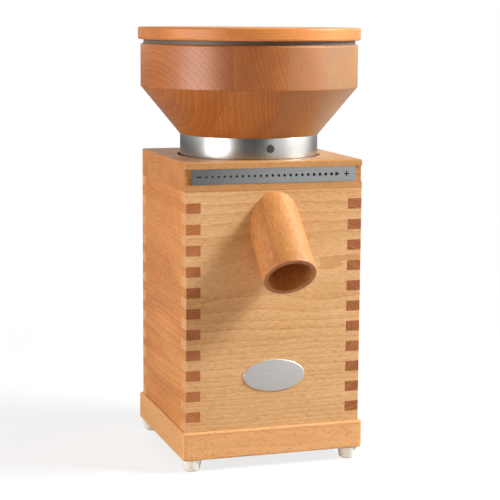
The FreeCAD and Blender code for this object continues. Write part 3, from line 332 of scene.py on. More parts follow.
# %% Lay the floor
def floor_material():
    """White paper: for the camera, its share of plain light grows from 0.8 near the mill to all at 0.9 m.

    The camera meets paper of grey 0.9. Rays that carry its light on to the mill meet a darker and warmer tone, so
    the shadows on the mill stay deep and warm. Mirrors meet grey 0.3, with half plain light towards the right.
    """
    seen_grey, mirror_grey, carried_tone = 0.9, 0.3, (0.58, 0.51, 0.44)
    material, start, point, _ = new_material("white_paper")
    flat = start.node("VectorMath", {0: point, 1: (0.001, 0.001, 0.0)}, operation="MULTIPLY")
    away = start.node("VectorMath", {0: flat}, out=1, operation="LENGTH")
    seen, mirrored = start.node("LightPath", out="Is Camera Ray"), start.node("LightPath", out="Is Glossy Ray")
    fold = (point.noise(0.02) - 0.5) * 0.03
    grey = [base + fold + (seen_grey - base) * seen + (mirror_grey - base) * mirrored for base in carried_tone]
    paper = start.node("BsdfDiffuse", {0: start.vector(*grey)})
    light = start.node("Emission", {0: white, 1: 1.0})
    share = seen * (0.80 + 0.20 * away.rise(0.25, 0.9)) + mirrored * 0.5 * point.part(0).rise(80, 500)
    start.node("OutputMaterial", {0: start.node("MixShader", {0: share, 1: paper, 2: light})})
    return material


floor_around, below_the_feet = 96, 0.01
reach = np.array([0, 60, 150, 300, 600, 1200, 3000, 9000.0])
turn = np.linspace(0, 2 * pi, floor_around, endpoint=False)[:, None]
floor_points = np.stack([reach * np.cos(turn), reach * np.sin(turn), 0 * reach * turn - below_the_feet], -1)
floor_faces = grid_faces(floor_around, len(reach), close_rows=True)
floor = make_object("floor", floor_points.reshape(-1, 3), floor_faces, floor_material())
print("floor", 2 * reach[-1] / 1000, "m across")


# %% Hang the dark cards
def card(name, first, last, low, high, distance, grey, across=25, up=5):
    """An upright dark card that only reflections show, bent round the mill from one azimuth to another.

    At azimuth a and distance d a point stands at x = d sin a, y = -d cos a.
    """
    material, start, point, _ = new_material(name + "_cloth")
    shade = grey * (0.9 + 0.2 * point.noise(0.01))
    light = start.node("Emission", {0: start.vector(shade, shade, shade), 1: 1.0})
    start.node("OutputMaterial", {0: light})
    azimuths, heights = np.radians(np.linspace(first, last, across)), np.linspace(low, high, up)
    angle, height = np.meshgrid(azimuths, heights, indexing="ij")
    points = np.stack([distance * np.sin(angle), -distance * np.cos(angle), height], -1).reshape(-1, 3)
    made = make_object(name, points, grid_faces(across, up), material)
    made.visible_camera = made.visible_diffuse = made.visible_shadow = made.visible_transmission = False
    print(name, "from", first, "to", last, "degrees")


# Each card: its first and last azimuth in degrees, its foot, top and distance in mm, its grey.
card("front_card", -42, 16, 0, 1500, 1700, 0.05)
card("right_back_card", 104, 165, 0, 330, 1500, 0.14)
card("left_back_card", -205, -112, 0, 330, 1500, 0.10)

# %% [markdown]
# ## Beech
#
# Solid wood shows one thing on every side: the tree it was cut from. So its pattern is not laid on the faces but
# worked out in space. Each board has a line that was the tree's heart. A point's distance from that line gives its
# year ring, and the same sum draws straight lines on one face, arches on the next and arcs on the end grain.
#
# Beech has narrow dark late wood, fine pores, and rays: thin ribbons that run out from the heart. Cut across they are
# short brown dashes, and cut along they are pale flecks. Stretched noise and stretched cells give both.

# %% The wood of one tree, cut into a piece
def beech(name, grain, hearts, pale, deep, end_pale, end_deep, ring=3.2, figure=0.3, lines=0.15, streaks=1.2,
          dashes=0.2, clouds=0.9, sway=2.5, seed=0.0, roughness=0.45, glaze=0.5, coat=0.0, tone_and_sheen_greys=None):
    """Solid beech. hearts is (start, side, height, shade) for each plank, side by side across the grain, in mm.

    The year is the distance from the heart over the ring's width, and its fraction runs from the pale early wood to
    the dark late wood. Pale and deep are the colours along the grain, end_pale and end_deep those across it. Figure,
    lines, streaks, dashes and clouds say how strongly each pattern shows, and sway how far the heart wanders in mm.
    The last argument, left out for none, has each plank's share of a greyer brown, which is partly the plank's own
    tone and partly painted sheen where the light falls.
    """
    material, start, point, normal = new_material(name)
    grain = Vector(grain).normalized()
    side = Vector((0, 0, 1)).cross(grain).normalized()
    lift = grain.cross(side)
    along, across, height = point.dot(grain), point.dot(side), point.dot(lift)

    # Lengths along the grain and widths of the broad patterns, in mm, and the grey of plank tone and painted sheen.
    wander_long, cloud_long, dash_long, streak_long, ray_long, fibre_long = 110, 90, 30, 6, 5.5, 4
    wander_wide, cloud_wide, ray_deep, tone_and_sheen_grey = 34, 22, 6.0, (140, 125, 90)

    # Each plank has its own heart, shade and grey (tone and painted sheen), and a thin dark glue line parts the
    # planks.
    tone_and_sheen_greys = tone_and_sheen_greys or (0.0,) * len(hearts)
    heart_side, heart_height, shade, glue, grey = *hearts[0][1:], 0.0, tone_and_sheen_greys[0]
    for (_, side_0, height_0, shade_0), (edge, side_1, height_1, shade_1), grey_0, grey_1 in zip(
            hearts, hearts[1:], tone_and_sheen_greys, tone_and_sheen_greys[1:]):
        past = across > edge
        heart_side = heart_side + past * (side_1 - side_0)
        heart_height = heart_height + past * (height_1 - height_0)
        shade = shade + past * (shade_1 - shade_0)
        glue = (1 - abs(across - edge).rise(0.08, 0.35)).most(glue)
        grey = grey + past * (grey_1 - grey_0)

    # The year rings, round a heart that wanders along the board.
    drift = start.vector(along * (1 / wander_long) + seed, across * (1 / wander_wide),
                         height * (1 / wander_wide)).noise(1, 2, out=1)
    a = across - heart_side + (drift.part(0) - 0.5) * (2 * sway)
    b = height - heart_height + (drift.part(1) - 0.5) * (2 * sway)
    radius = (a * a + b * b) ** 0.5
    round_ring = start.math("ARCTAN2", b, a) * 60
    year = radius * (1 / ring) + start.vector(radius * 0.11, seed, 0).noise(1, 2) * 3.0
    in_year = start.math("FRACT", year)
    late = in_year ** 2.5
    early = (1 - in_year) ** 8
    season = start.vector(radius * (0.4 / ring), seed, 0.5).noise(1, 1)

    # Streaks and fibres run along the grain, clouds are broad, and rays cut across show as short dashes, in patches.
    streak = start.vector(along * (1 / streak_long) + seed, across * 0.9, height * 0.9).noise(1, 3, 0.65)
    fibre = start.vector(along * (1 / fibre_long), across * 3.5, height * 3.5 + seed).noise(1, 2)
    cloud = start.vector(along * (1 / cloud_long), across * (1 / cloud_wide),
                         height * (1 / cloud_wide) + seed).noise(1, 3)
    ray = 1 - start.vector(along * (1 / ray_long), round_ring, radius * (1 / ray_deep)).cells().rise(0.10, 0.36)
    patch = start.vector(along * (1 / dash_long), across * 0.12, height * 0.12 + seed).noise(1, 1)
    dash = ray * patch.rise(0.40, 0.60)

    # From pale to deep wood, then the dashes, the end grain, the grey of plank tone and painted sheen, and the glue.
    end_grain = abs(normal.dot(grain)).rise(0.60, 0.90)
    depth = 0.45 + shade + (late - 0.25) * figure - early * lines + (season - 0.5) * (figure * 0.8)
    depth = depth + (streak - 0.5) * streaks + (fibre - 0.5) * 0.4 + (cloud - 0.5) * clouds
    brown = paint(deep[0] * 0.90, deep[1] * 0.71, deep[2] * 0.60)
    colour = depth.between(paint(*pale), paint(*deep)).blend(brown, dash * dashes)
    colour = colour.blend(depth.between(paint(*end_pale), paint(*end_deep)), end_grain)
    # Greyer planks: partly their own tone, partly painted sheen where the light falls on them.
    colour = colour.blend(paint(*tone_and_sheen_grey), grey) if any(tone_and_sheen_greys) else colour
    colour = colour.blend(paint(*(c * 0.6 for c in deep)), glue * 0.22) if len(hearts) > 1 else colour
    relief = (fibre + streak) * 0.5 - dash * 0.2 + late * 0.25
    gloss = roughness + (streak - 0.5) * 0.18 + end_grain * 0.06 + dash * 0.05
    close_material(start, colour, gloss, relief, depth=0.00012, bump=0.35, Specular_IOR_Level=glaze,
                   Coat_Weight=coat, Coat_Roughness=0.3)
    return material


# %% Cut the boards of the case
one_heart = -1000.0  # the first plank starts far outside the mill
front_look = dict(pale=(228, 190, 143), deep=(190, 139, 84), end_pale=(236, 184, 132), end_deep=(206, 148, 100),
                  glaze=0.25)
side_look = dict(pale=(228, 161, 95), deep=(184, 109, 55), end_pale=(188, 118, 70), end_deep=(140, 77, 38))
front_beech = beech("beech_front_board", (1, 0, 0), [(one_heart, 60, 178, 0)], **front_look, figure=0.3, lines=0.12,
                    ring=2.7, clouds=0.6, streaks=1.35, dashes=0.28, seed=3.1)
back_beech = beech("beech_back_board", (1, 0, 0), [(one_heart, -30, 110, 0)], **front_look, figure=0.25, lines=0.1,
                   ring=4.0, seed=31.9)
side_beech = beech("beech_side_board", (0, 1, 0), [(one_heart, 40, 96, 0)], **side_look, ring=3.2, figure=0.35,
                   lines=0.25, streaks=1.9, clouds=1.2, dashes=0.3, seed=11.7)
# The right board is cut darker: painted shade, for the key light that falls strongest on that side.
right_beech = beech("beech_right_board", (0, 1, 0), [(one_heart, -40, 120, 0.3)], **side_look, ring=4.0, figure=0.6,
                    lines=0.3, streaks=1.8, seed=23.4)
top_beech = beech("beech_top_plate", (1, 0, 0), [(one_heart, 20, 190, 0)], (198, 152, 100), (173, 117, 66),
                  (212, 152, 98), (174, 111, 61), ring=3.4, figure=0.5, streaks=1.6, seed=41.3, glaze=0.2)
print("beech for the case made")

# %% Cut the plinth, the spout, the hopper and the lid from other trees
rail_beeches = {}
rail_look = dict(pale=(235, 184, 127), deep=(207, 145, 88), end_pale=(195, 131, 88), end_deep=(156, 96, 58))
for number, (node, grain) in enumerate({"plinth_front_rail": (1, 0, 0), "plinth_right_rail": (0, 1, 0),
                                        "plinth_back_rail": (1, 0, 0), "plinth_left_rail": (0, 1, 0)}.items()):
    rail_beeches[node] = beech("beech_" + node, grain, [(one_heart, 40 + 9 * number, 70 - 5 * number, -0.1 * number)],
                               **rail_look, figure=0.2, dashes=0.65, seed=50 + 7.3 * number)

spout_slope = radians(42.6)
spout_beech = beech("beech_spout", (0, -cos(spout_slope), -sin(spout_slope)), [(one_heart, 60, -30, 0)],
                    (212, 152, 92), (174, 106, 50), (180, 124, 90), (146, 92, 62), ring=2.6, figure=0.2,
                    streaks=1.9, dashes=0.3, seed=71.1, roughness=0.5, glaze=0.45)

# The hopper's planks lie from right to left, seen from the front.
plank_turn = radians(100)
hopper_planks = [(one_heart, -75, 290, 0.15), (-25, -120, 398, 0.08), (14, -167, 405, 0.12), (57, 198, 269, 0.4)]
# The two planks on the right are greyer: partly their own tone, partly painted sheen for the light on that side.
hopper_beech = beech("beech_hopper", (cos(plank_turn), sin(plank_turn), 0), hopper_planks,
                     (205, 135, 70), (164, 93, 40), (191, 121, 64), (146, 78, 33), ring=3.3, figure=0.16, lines=0.5,
                     streaks=0.9, dashes=0.35, clouds=0.6, sway=1.6, seed=5.2, roughness=0.40, glaze=0.5, coat=0.1,
                     tone_and_sheen_greys=(0.4, 0.18, 0.0, 0.0))
lid_beech = beech("beech_lid", (0.97, -0.24, 0), [(one_heart, -88, 190, 0)], (226, 152, 84), (200, 115, 52),
                  (206, 135, 74), (171, 99, 49), ring=2.4, figure=0.3, lines=0.3, streaks=0.8, sway=4, seed=91.7,
                  roughness=0.42, glaze=0.4)
print("beech for", len(rail_beeches) + 3, "more pieces made")

# %% Dress the wooden solids
def dress(material, *nodes):
    """Gives the material to every slot of these solids."""
    for name in nodes:
        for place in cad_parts[name].material_slots:
            place.material = material


dress(front_beech, "front_panel")
dress(side_beech, "left_panel")
dress(right_beech, "right_panel")
dress(back_beech, "back_panel")
dress(top_beech, "top_plate")
for node, wood in rail_beeches.items():
    dress(wood, node)
dress(spout_beech, "spout")
dress(hopper_beech, "hopper_bowl")
dress(lid_beech, "lid")
print("wooden solids dressed")

# %% [markdown]
# ## Brushed steel
#
# Brushing leaves long fine scratches in one direction. A noise that is stretched a few hundred times along that
# direction gives them, and it feeds colour, roughness and a very low bump. The collar is brushed as it turns, so its
# scratches follow the angle, while the strip and the plate are brushed lengthwise.

# %% Steel, brushed along a line or round the axis
def brushed_steel(name, tone, roughness=0.3, round_axis=False, fine=9.0, metal=1.0, dark=0.93):
    """Brushed steel. Scratches run along X, or round the Z axis, as noise stretched in that direction.

    Fine is how many scratches lie side by side on a millimetre, and dark is how much of the tone their floors keep.
    """
    material, start, point, _ = new_material(name)
    run = start.math("ARCTAN2", point.part(1), point.part(0)) * 1.2 if round_axis else point.part(0) * 0.02
    scratch = start.vector(run, point.part(2) * fine, 0.0).noise(1, 3, 0.7)
    smear = start.vector(run * 3, point.part(2) * 0.5, 0.0).noise(1, 2)
    low, high = paint(*(t * dark for t in tone)), paint(*tone)
    colour = (scratch * 0.75 + smear * 0.25).between(low, high)
    gloss = roughness + (scratch - 0.5) * 0.10 + (smear - 0.5) * 0.05
    close_material(start, colour, gloss, scratch, depth=0.00002, bump=0.18, Metallic=metal)
    return material


collar_steel = brushed_steel("steel_collar", (203, 203, 200), 0.32, round_axis=True)
strip_steel = brushed_steel("steel_strip", (205, 207, 207), 0.2, fine=4.0)
plate_steel = brushed_steel("steel_oval_plate", (250, 248, 246), 0.36, fine=1.8, metal=0.8, dark=0.82)
dress(strip_steel, "scale_strip")
print("three steels made")


# %% Moulded and cast finishes
def moulded(name, colour, roughness=0.5, grain=3.0, spread=0.08, depth=0.00005, **constants):
    """A moulded or cast finish: a fine grain in colour, gloss and height, over a broad cloud."""
    material, start, point, _ = new_material(name)
    fine = point.noise(grain, 3)
    broad = point.noise(0.06, 2)
    low, high = (tuple(min(c * (1 + sign * spread), 255) for c in colour) for sign in (-1, 1))
    tint = (fine * 0.5 + broad * 0.5).between(paint(*low), paint(*high))
    gloss = roughness + (fine - 0.5) * 0.2 + (broad - 0.5) * 0.1
    close_material(start, tint, gloss, fine, depth=depth, bump=0.3, **constants)
    return material


# The white leans faintly blue: a painted cool tint that cancels the warm floor bounce and amber fill on the feet.
foot_rubber = moulded("white_foot_rubber", (246, 253, 255), 0.5, grain=2.0, spread=0.01)
plug_plastic = moulded("plug_plastic", (58, 56, 54), 0.55)
enamel = moulded("black_enamel", (7, 7, 8), 0.7, grain=6.0, spread=0.3, Specular_IOR_Level=0.2)
zinc = moulded("zinc_plate", (176, 177, 180), 0.32, grain=1.5, spread=0.12, Metallic=1.0)
switch_plastic = moulded("switch_plastic", (30, 30, 31), 0.34, grain=4.0, spread=0.2)
white_print = moulded("white_print", (226, 226, 222), 0.5, grain=5.0)
print("six plain finishes made")

# %% [markdown]
# ## The collar and its plug
#
# The band under the hopper is cut from steel tube, and its edges are broken with a file. A profile with small arcs at
# its corners, carried round the axis, gives edges that catch a thin line of light. The dark plug that points at the
# scale is a round pin. Its face follows the band's curve and its rim is eased.

# %% Turn the collar
collar_outside, collar_inside, collar_low, collar_high = 62.0, 60.0, 266.8, 288.3
collar_edge = eased([(collar_outside, collar_low, 0.5), (collar_outside, collar_high, 0.4),
                     (collar_inside, collar_high, 0.3), (collar_inside, collar_low, 0.3)])
collar = make_object("collar_band", *turned(collar_edge, around=288), collar_steel)
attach(collar, "hopper")
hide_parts("adjusting_collar")
print("collar faces", len(collar.data.polygons))


# %% Press in its plug
def curved_plug(radius, height, proud, back, sunk=0.02, around=64):
    """A pin that points to the front. At share s of its radius its face stands proud * (1 - s^8) - sunk off the band.

    The band's surface at x = r cos t lies at y = -sqrt(R^2 - x^2), so the face follows it.
    """
    share = np.concatenate([np.linspace(0, 0.8, 5), np.linspace(0.85, 1, 8)])
    t = np.linspace(0, 2 * pi, around, endpoint=False)[:, None]
    x, z = radius * share * np.cos(t), radius * share * np.sin(t)
    rise = proud * (1 - share ** 8) - sunk
    face = np.stack([x, -np.sqrt(collar_outside ** 2 - x ** 2) - rise, height + z], -1)
    sides = np.stack([x[:, -1:], np.full_like(t, -back), height + z[:, -1:]], -1)
    middle_back = np.stack([0 * t, np.full_like(t, -back), np.full_like(t, height)], -1)
    points = np.concatenate([face, sides, middle_back], 1)
    return points.reshape(-1, 3), grid_faces(around, points.shape[1], close_rows=True)


plug_shape = curved_plug(radius=3.7, height=279.2, proud=0.2, back=60.2)
plug = make_object("pointer_plug", *plug_shape, plug_plastic)
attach(plug, "hopper")
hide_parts("marker_dot")
print("plug faces", len(plug.data.polygons))

# %% [markdown]
# ## The scale
#
# The scale runs from fine on the left to coarse on the right: a minus, a row of dots that grow, an arrow and a plus.
# The strip is etched and the etching is filled with black enamel. Each filling is a low prism with a slightly domed
# top, and all of them are one mesh.

# %% One filling of enamel, and several as one
strip_face, mark_depth, mark_height = -75.0, 0.2, 257.5


def filling(outline, proud=0.035, fall=0.04, spill=1.22, rings=5):
    """A low domed prism over a closed outline of (x, z), in rings that are shares of it, seen from its middle.

    It stands proud - fall * (share / spill)^4 off the strip's face, so the middle is highest. The enamel spills a
    fifth over the etched edge, where it meets the steel.
    """
    outline = np.asarray(outline, float)
    heart = outline.mean(0)
    share = np.linspace(0, spill, rings)
    flat = heart + (outline[:, None] - heart) * share[None, :, None]
    y = strip_face - proud + fall * (share / spill) ** 4
    top = np.stack([flat[..., 0], np.broadcast_to(y, flat.shape[:2]), flat[..., 1]], -1)
    wall = np.stack([outline[:, 0], np.full(len(flat), strip_face + mark_depth), outline[:, 1]], -1)[:, None]
    floor_middle = np.broadcast_to(np.array([heart[0], strip_face + mark_depth, heart[1]]), (len(flat), 1, 3))
    points = np.concatenate([top, wall, floor_middle], 1)
    return points.reshape(-1, 3), grid_faces(len(flat), points.shape[1], close_rows=True)


def joined(pieces):
    """Several (points, faces) as one: each piece's face numbers are moved past the points before it."""
    counts = np.cumsum([0] + [len(points) for points, _ in pieces])
    return (np.concatenate([points for points, _ in pieces]),
            np.concatenate([faces + start for (_, faces), start in zip(pieces, counts)]))


def bar(x, z, width, height):
    """The outline of a bar with rounded corners."""
    w, h, r = width / 2, height / 2, min(width, height) * 0.2
    return eased([(x - w, z - h, r), (x + w, z - h, r), (x + w, z + h, r), (x - w, z + h, r)], 3)


print("the outline of a bar has", len(bar(0, 0, 4, 1)), "points")

# %% Fill the scale with enamel
dot_count, first_dot, dot_step, smallest_dot, largest_dot = 22, -61.5, 5.4, 0.75, 1.2
arrow_tail, arrow_tip, arrow_half, arrow_round = 55.5, 59.1, 1.7, 0.15
minus_middle, plus_middle, sign_long, sign_thick = -68.0, 65.9, 4.0, 0.9

round_turn = np.linspace(0, 2 * pi, 32, endpoint=False)
marks = []
for k in range(dot_count):
    x, r = first_dot + dot_step * k, smallest_dot + (largest_dot - smallest_dot) * k / (dot_count - 1)
    marks.append(filling(np.stack([x + r * np.cos(round_turn), mark_height + r * np.sin(round_turn)], -1)))
marks.append(filling(eased([(arrow_tail, mark_height - arrow_half, arrow_round), (arrow_tip, mark_height, arrow_round),
                            (arrow_tail, mark_height + arrow_half, arrow_round)])))
marks.append(filling(bar(minus_middle, mark_height, sign_long, sign_thick)))
marks.append(filling(bar(plus_middle, mark_height, sign_long, sign_thick)))
marks.append(filling(bar(plus_middle, mark_height, sign_thick, sign_long)))
scale_marks = make_object("scale_marks", *joined(marks), enamel)
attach(scale_marks, "housing")
print("marks", len(marks))

# %% [markdown]
# ## The oval plate
#
# A stamped plate is never quite flat: its face is crowned by a third of a millimetre and its edge rolls over. The
# grid's two numbers are the angle and the share of the way out.

# %% Stamp the oval plate
def stamped_oval(half_width, half_height, height, back, thick, crown=0.3, roll=0.5, around=160, rings=10, bends=5):
    """An oval with a crowned face: y = back - (thick - crown * s^2) for share s, then a quarter round of radius roll.

    The flank goes back to the seat, and the last ring closes the back at the middle.
    """
    t = np.linspace(0, 2 * pi, around, endpoint=False)[:, None]
    s = np.linspace(0, 1, rings)
    bend = np.linspace(0, pi / 2, bends + 1)[1:]
    inset = np.concatenate([roll * np.ones(rings), roll * (1 - np.sin(bend)), [0.0, 0.0]])
    out = np.concatenate([thick - crown * s ** 2, thick - crown - roll * (1 - np.cos(bend)), [0.0, 0.0]])
    share = np.concatenate([s, np.ones(bends + 1), [0.0]])
    x = (half_width - inset) * share * np.cos(t)
    z = (half_height - inset) * share * np.sin(t)
    points = np.stack([x, np.broadcast_to(back - out, x.shape), height + z], -1)
    return points.reshape(-1, 3), grid_faces(around, points.shape[1], close_rows=True)


oval_shape = stamped_oval(half_width=28.0, half_height=14.2, height=82.0, back=-76.5, thick=1.2)
oval_plate = make_object("oval_plate", *oval_shape, plate_steel)
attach(oval_plate, "housing")
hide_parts("name_plate")
print("oval plate faces", len(oval_plate.data.polygons))

# %% [markdown]
# ## Feet and screws
#
# A rubber foot comes from a mould, so it has no hard corner: a tapered flank, a round sole and a stepped hole that
# hides its screw. One profile is turned and set down four times.
#
# A screw head shows its cross. The head is a grid of angle and radius whose height is a dome, and the cross is taken
# off that height where a point lies near one of the two arms.

# %% Mould the feet
def set_down(shape, x, y, z=0.0, over=False):
    """A turned shape moved so that its axis stands at (x, y). Over turns it upside down first, about the X axis."""
    points, faces = shape
    points = points * (np.array([1, -1, -1]) if over else 1)
    return points + np.array([x, y, z]), faces


foot_x, foot_y, foot_top, foot_seat, foot_hole, foot_sink = 73.0, 69.5, 11.0, 4.0, 2.4, 4.2
foot_places = [(foot_x, foot_y), (-foot_x, foot_y), (-foot_x, -foot_y), (foot_x, -foot_y)]
foot_profile = [(foot_hole, foot_top, 0.2), (9.0, foot_top, 0.5), (8.8, 9.4, 0.7), (7.2, 0.0, 3.4),
                (foot_sink, 0.0, 0.5), (foot_sink, foot_seat, 0.4), (foot_hole, foot_seat, 0.2)]
foot_shape = turned(eased(foot_profile), around=64)
rubber_feet = make_object("rubber_feet", *joined([set_down(foot_shape, x, y) for x, y in foot_places]), foot_rubber)
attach(rubber_feet, "housing")
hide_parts("feet")
print("feet", len(foot_places))


# %% Cut the crosses of the screws
def cross_screw(head, high, shank, length, around=64):
    """A screw on +Z with its seat at 0. Height is high * (1 - dome * s^2) for share s of the head's radius.

    The cross takes off deep * ramp(w - small) * ramp(l - large), where small and large are the lesser and greater of
    |x| and |y|, w and l are the arms' half width and length, and ramp goes from 0 to 1 over the slope of the walls.
    Widths are shares of the head's radius, and dome, rim and deep are shares of high.
    """
    half_width, wall_in, half_length, wall_out, deep = 0.15, 0.07, 0.56, 0.22, 0.62
    dome, rim_height, under_head, thread_end, rings = 0.45, 0.18, 0.95, 0.75, 16
    t = np.linspace(0, 2 * pi, around, endpoint=False)[:, None]
    s = np.linspace(0, 1, rings)
    x, y = head * s * np.cos(t), head * s * np.sin(t)
    small, large = np.minimum(abs(x), abs(y)), np.maximum(abs(x), abs(y))
    ramp_in = np.clip((half_width * head - small) / (wall_in * head) + 0.5, 0, 1)
    ramp_out = np.clip((half_length * head - large) / (wall_out * head) + 0.5, 0, 1)
    top = high * (1 - dome * s ** 2) - deep * high * ramp_in * ramp_out
    face = np.stack([x, y, top], -1)
    rest = [(head, rim_height * high), (head * under_head, 0.0), (shank, 0.0), (shank, -length * thread_end),
            (0.0, -length)]
    side = np.stack([np.stack([r * np.cos(t[:, 0]), r * np.sin(t[:, 0]), z + 0 * t[:, 0]], -1) for r, z in rest], 1)
    points = np.concatenate([face, side], 1)
    return points.reshape(-1, 3), grid_faces(around, points.shape[1], close_rows=True)


def screws(name, node, body, size, seats, over=False):
    """One mesh of screws at their seats, in place of the plain ones.

    Size is the head's radius and height, the shank's radius and the length.
    """
    shape = cross_screw(*size)
    made = make_object(name, *joined([set_down(shape, *seat, over=over) for seat in seats]), zinc, sharp=28)
    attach(made, body)
    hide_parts(node)
    print(name, len(seats))


hopper_screw_circle, hopper_screw_seat = 40, 290.9
board_screw_x, board_screw_y, board_underside = 65.5, 45, 13.0
screws("hopper_cross_screws", "hopper_screws", "hopper", (4.0, 2.6, 2.0, 20.0),
       [(hopper_screw_circle * cos(radians(turn)), hopper_screw_circle * sin(radians(turn)), hopper_screw_seat)
        for turn in (90, 210, 330)])
screws("foot_cross_screws", "foot_screws", "housing", (3.8, 2.4, 2.0, 22.0),
       [(x, y, foot_seat) for x, y in foot_places], over=True)
screws("board_cross_screws", "bottom_board_screws", "housing", (2.0, 1.4, 1.2, 14.0),
       [(x, y, board_underside) for x in (-board_screw_x, board_screw_x) for y in (-board_screw_y, board_screw_y)],
       over=True)

# %% [markdown]
# ## Inside and behind
#
# Taken apart, the mill shows many more surfaces: cross-laid veneers, stacked iron sheets, wound wire, pressed grit,
# felt, castings and turned shafts. Each gets the one pattern that its making leaves.
#
# Where a pattern repeats, such as sheets in a stack, the fraction of the height over the sheet's thickness draws it.

# %% Veneers, sheets and wire
def plywood(name, sheet=1.3):
    """Cross-laid veneers: the whole part of the height over a sheet's thickness says which way the grain runs."""
    material, start, point, normal = new_material(name)
    layer = start.math("FLOOR", point.part(2) * (1 / sheet))
    crossed = start.math("MODULO", layer, 2.0)
    x, y = point.part(0), point.part(1)
    along, across = x + crossed * (y - x), y + crossed * (x - y)
    grain = start.vector(along * (1 / 18), across * 0.8, layer * 3.7).noise(1, 3, 0.6)
    cloud = start.vector(along * (1 / 60), across * (1 / 15), layer * 1.9).noise(1, 2)
    edge = 1 - abs(normal.part(2)).rise(0.5, 0.8)
    depth = grain * 0.7 + cloud * 0.5 - 0.1 + edge * (crossed - 0.3) * 0.7
    colour = depth.between(paint(216, 178, 130), paint(170, 122, 76))
    close_material(start, colour, 0.6 + (grain - 0.5) * 0.2, grain + cloud, depth=0.0001, bump=0.4)
    return material


def stacked_sheets(name, tone, sheet=0.65):
    """Punched iron sheets in a stack: a dark line where the fraction of the height over the sheet nears 0 or 1."""
    material, start, point, normal = new_material(name)
    share = start.math("FRACT", point.part(2) * (1 / sheet) + 0.25)
    line = abs(share - 0.5).rise(0.34, 0.46) * (1 - abs(normal.part(2)).rise(0.5, 0.8))
    stain = point.noise(0.25, 4)
    colour = stain.between(paint(*(t * 0.7 for t in tone)), paint(*tone))
    colour = colour.blend(paint(*(t * 0.35 for t in tone)), line * 0.8)
    close_material(start, colour, 0.42 + stain * 0.25, 0.5 - line, depth=0.0002, bump=0.6, Metallic=0.8)
    return material


def wound_wire(name, tone, wire=0.9):
    """Enamelled wire wound round the axis: at radius r and height z, the strand is the fraction of (r + z) / wire."""
    material, start, point, _ = new_material(name)
    x, y, z = (point.part(axis) for axis in range(3))
    radius = (x * x + y * y) ** 0.5
    lay = start.vector(start.math("ARCTAN2", y, x) * 3, radius * 0.1, z * 0.1).noise(1, 2)
    strand = abs(start.math("FRACT", (radius + z) * (1 / wire) + lay * 2.0) - 0.5) * 2
    shaded_groove = strand.rise(0.55, 1.0)
    tint = start.vector(start.math("ARCTAN2", y, x) * 8, radius, z).noise(1, 2)
    colour = tint.between(paint(*(t * 0.8 for t in tone)), paint(*tone))
    # Darker in the grooves between strands: painted shade.
    colour = colour.blend(paint(*(t * 0.4 for t in tone)), shaded_groove * 0.8)
    gloss = 0.3 + shaded_groove * 0.3 + (tint - 0.5) * 0.1
    close_material(start, colour, gloss, 1 - strand, depth=0.0004, bump=0.8, Metallic=0.9)
    return material


dress(plywood("plywood"), "bottom_board")
dress(stacked_sheets("iron_sheets", (118, 118, 122)), "motor_stator", "rotor_core")
dress(wound_wire("copper_wire", (196, 104, 58)), "motor_windings")
print("veneers, sheets and wire made")


# %% Grit, felt, castings and the rest
def pressed_grit(name, pale, dark, size=0.9):
    """Corundum grains in a pale bond: every cell of a Voronoi pattern is a grain with its own shade and height."""
    material, start, point, _ = new_material(name)
    cell = point.cells(1 / size, out=1)
    shade, tall = cell.part(0), cell.part(1)
    shaded_gap = point.cells(1 / size).rise(0.3, 0.7)
    dust = point.noise(0.15, 3)
    # Towards each grain's edge the colour darkens: painted shade in the gaps between grains.
    share = shade ** 2 * 0.7 + shaded_gap * 0.2 + (dust - 0.5) * 0.4
    colour = share.between(paint(*pale), paint(*dark))
    close_material(start, colour, 0.78 + (tall - 0.5) * 0.2, tall - shaded_gap, depth=0.0003, bump=0.7)
    return material


def pressed_felt(name, tone):
    """Wool felt: the largest of three noises, each stretched along one axis, gives crossing fibres."""
    material, start, point, _ = new_material(name)
    x, y, z = (point.part(axis) for axis in range(3))
    fibres = [start.vector(x * a, y * b, z * c).noise(1, 2) for a, b, c in ((0.5, 3, 3), (3, 0.5, 3), (3, 3, 0.5))]
    wool = fibres[0].most(fibres[1]).most(fibres[2])
    share = (wool - 0.5) * 2.5 + (point.noise(0.2) - 0.5) * 0.5 + 0.3
    colour = share.between(paint(*(t * 0.65 for t in tone)), paint(*tone))
    close_material(start, colour, 0.85 + (wool - 0.5) * 0.3, wool, depth=0.0006, bump=0.8)
    return material


# %% Dress the inside and the small parts
dress(pressed_grit("stone_grit", (214, 204, 182), (120, 110, 94)), "upper_stone", "lower_stone")
dress(pressed_felt("grey_felt", (150, 144, 134)), "dust_seal", "shaft_seal")
dress(moulded("ring_rubber", (96, 88, 78), 0.5), "lid_ring")
dress(moulded("chamber_plastic", (212, 208, 198), 0.42, grain=1.6, spread=0.05), "milling_chamber", "stone_holder",
      "guard_grid")
dress(moulded("cast_metal", (164, 165, 166), 0.5, grain=1.1, spread=0.14, depth=0.0003, Metallic=0.9), "stone_carrier",
      "motor_top_bell", "motor_bottom_bell")
dress(brushed_steel("turned_steel", (190, 190, 192), 0.24, round_axis=True, fine=5.0), "motor_shaft", "upper_bearing",
      "lower_bearing")
dress(zinc, "plinth_screws", "chamber_screws", "stone_screws", "clamp_nut", "tie_bolts", "motor_screws", "fan_clip",
      "capacitor_clip", "clip_screws")
dress(switch_plastic, "switch_frame", "switch_rocker", "cord_gland", "gland_nut")
dress(moulded("fan_plastic", (38, 40, 42), 0.5, grain=2.0, spread=0.15), "cooling_fan", "capacitor")
print("every solid has its finish")

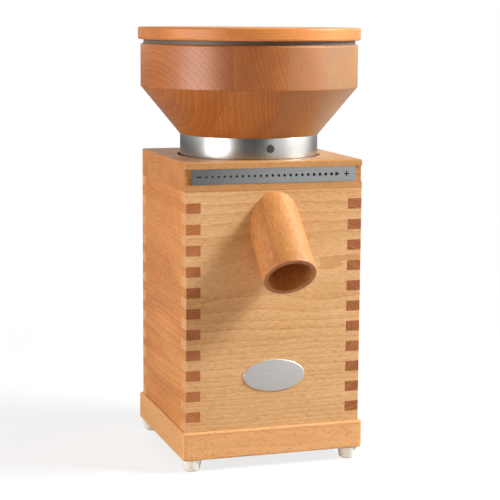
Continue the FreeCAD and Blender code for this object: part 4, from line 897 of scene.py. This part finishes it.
# %% [markdown]
# ## The rocker's marks
#
# The rocker's two faces lean eight degrees each way from its middle. At rest the lower face is upright, and the ring
# for off, on the upper face, is pressed in. A mark is worked out flat, then laid on its face: v runs up the face and
# w stands out of it.

# %% Lay a flat shape on the rocker
lean = radians(8)


def on_rocker(points, upper, pivot=(-35.0, 78.0, 87.5), ridge=3.2, half=12.0):
    """Lays flat (u, v, w) points on a face of the rocker, which is itself turned by the lean about X at rest.

    Seen from the pivot, the face's middle is (ridge - half tan(lean) / 2, +-half / 2) and its way up (-+tan, 1).
    """
    sign = 1 if upper else -1
    place = np.array([ridge - half * tan(lean) / 2, sign * half / 2])
    up = np.array([-sign * sin(lean), cos(lean)])
    out = np.array([cos(lean), sign * sin(lean)])
    flat = place + points[:, 1:2] * up + points[:, 2:3] * out
    y, z = flat[:, 0] * cos(lean) - flat[:, 1] * sin(lean), flat[:, 0] * sin(lean) + flat[:, 1] * cos(lean)
    return np.stack([pivot[0] - points[:, 0], pivot[1] + y, pivot[2] + z], -1)


print("the rocker leans", round(np.degrees(lean)), "degrees each way")

# %% Print the marks on the rocker
ring_inside, ring_outside, print_root, print_face = 2.0, 2.7, -0.1, 0.07
ring_profile = [(ring_inside, print_root, 0), (ring_outside, print_root, 0), (ring_outside, print_face, 0.04),
                (ring_inside, print_face, 0.04)]
ring_points, ring_faces = turned(eased(ring_profile, 3), around=64)

# The bar for on is rings that are shares of its outline, with a rounded edge, closed below at its middle.
bar_outline = bar(0, 0, 0.9, 5.2)
bar_share = np.array([0.0, 0.6, 0.9, 1.0, 1.0, 0.0])
bar_height = np.array([print_face, print_face, 0.065, 0.02, print_root, print_root])
bar_flat = bar_outline[:, None] * bar_share[None, :, None]
bar_up = np.broadcast_to(bar_height[None, :, None], (len(bar_outline), len(bar_height), 1))
bar_points = np.concatenate([bar_flat, bar_up], -1).reshape(-1, 3)
bar_faces = grid_faces(len(bar_outline), len(bar_height), close_rows=True)
rocker_marks = make_object("rocker_marks", *joined([(on_rocker(ring_points, True), ring_faces),
                                                   (on_rocker(bar_points, False), bar_faces)]), white_print)
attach(rocker_marks, "rocker")
print("rocker marks", len(rocker_marks.data.polygons), "faces")
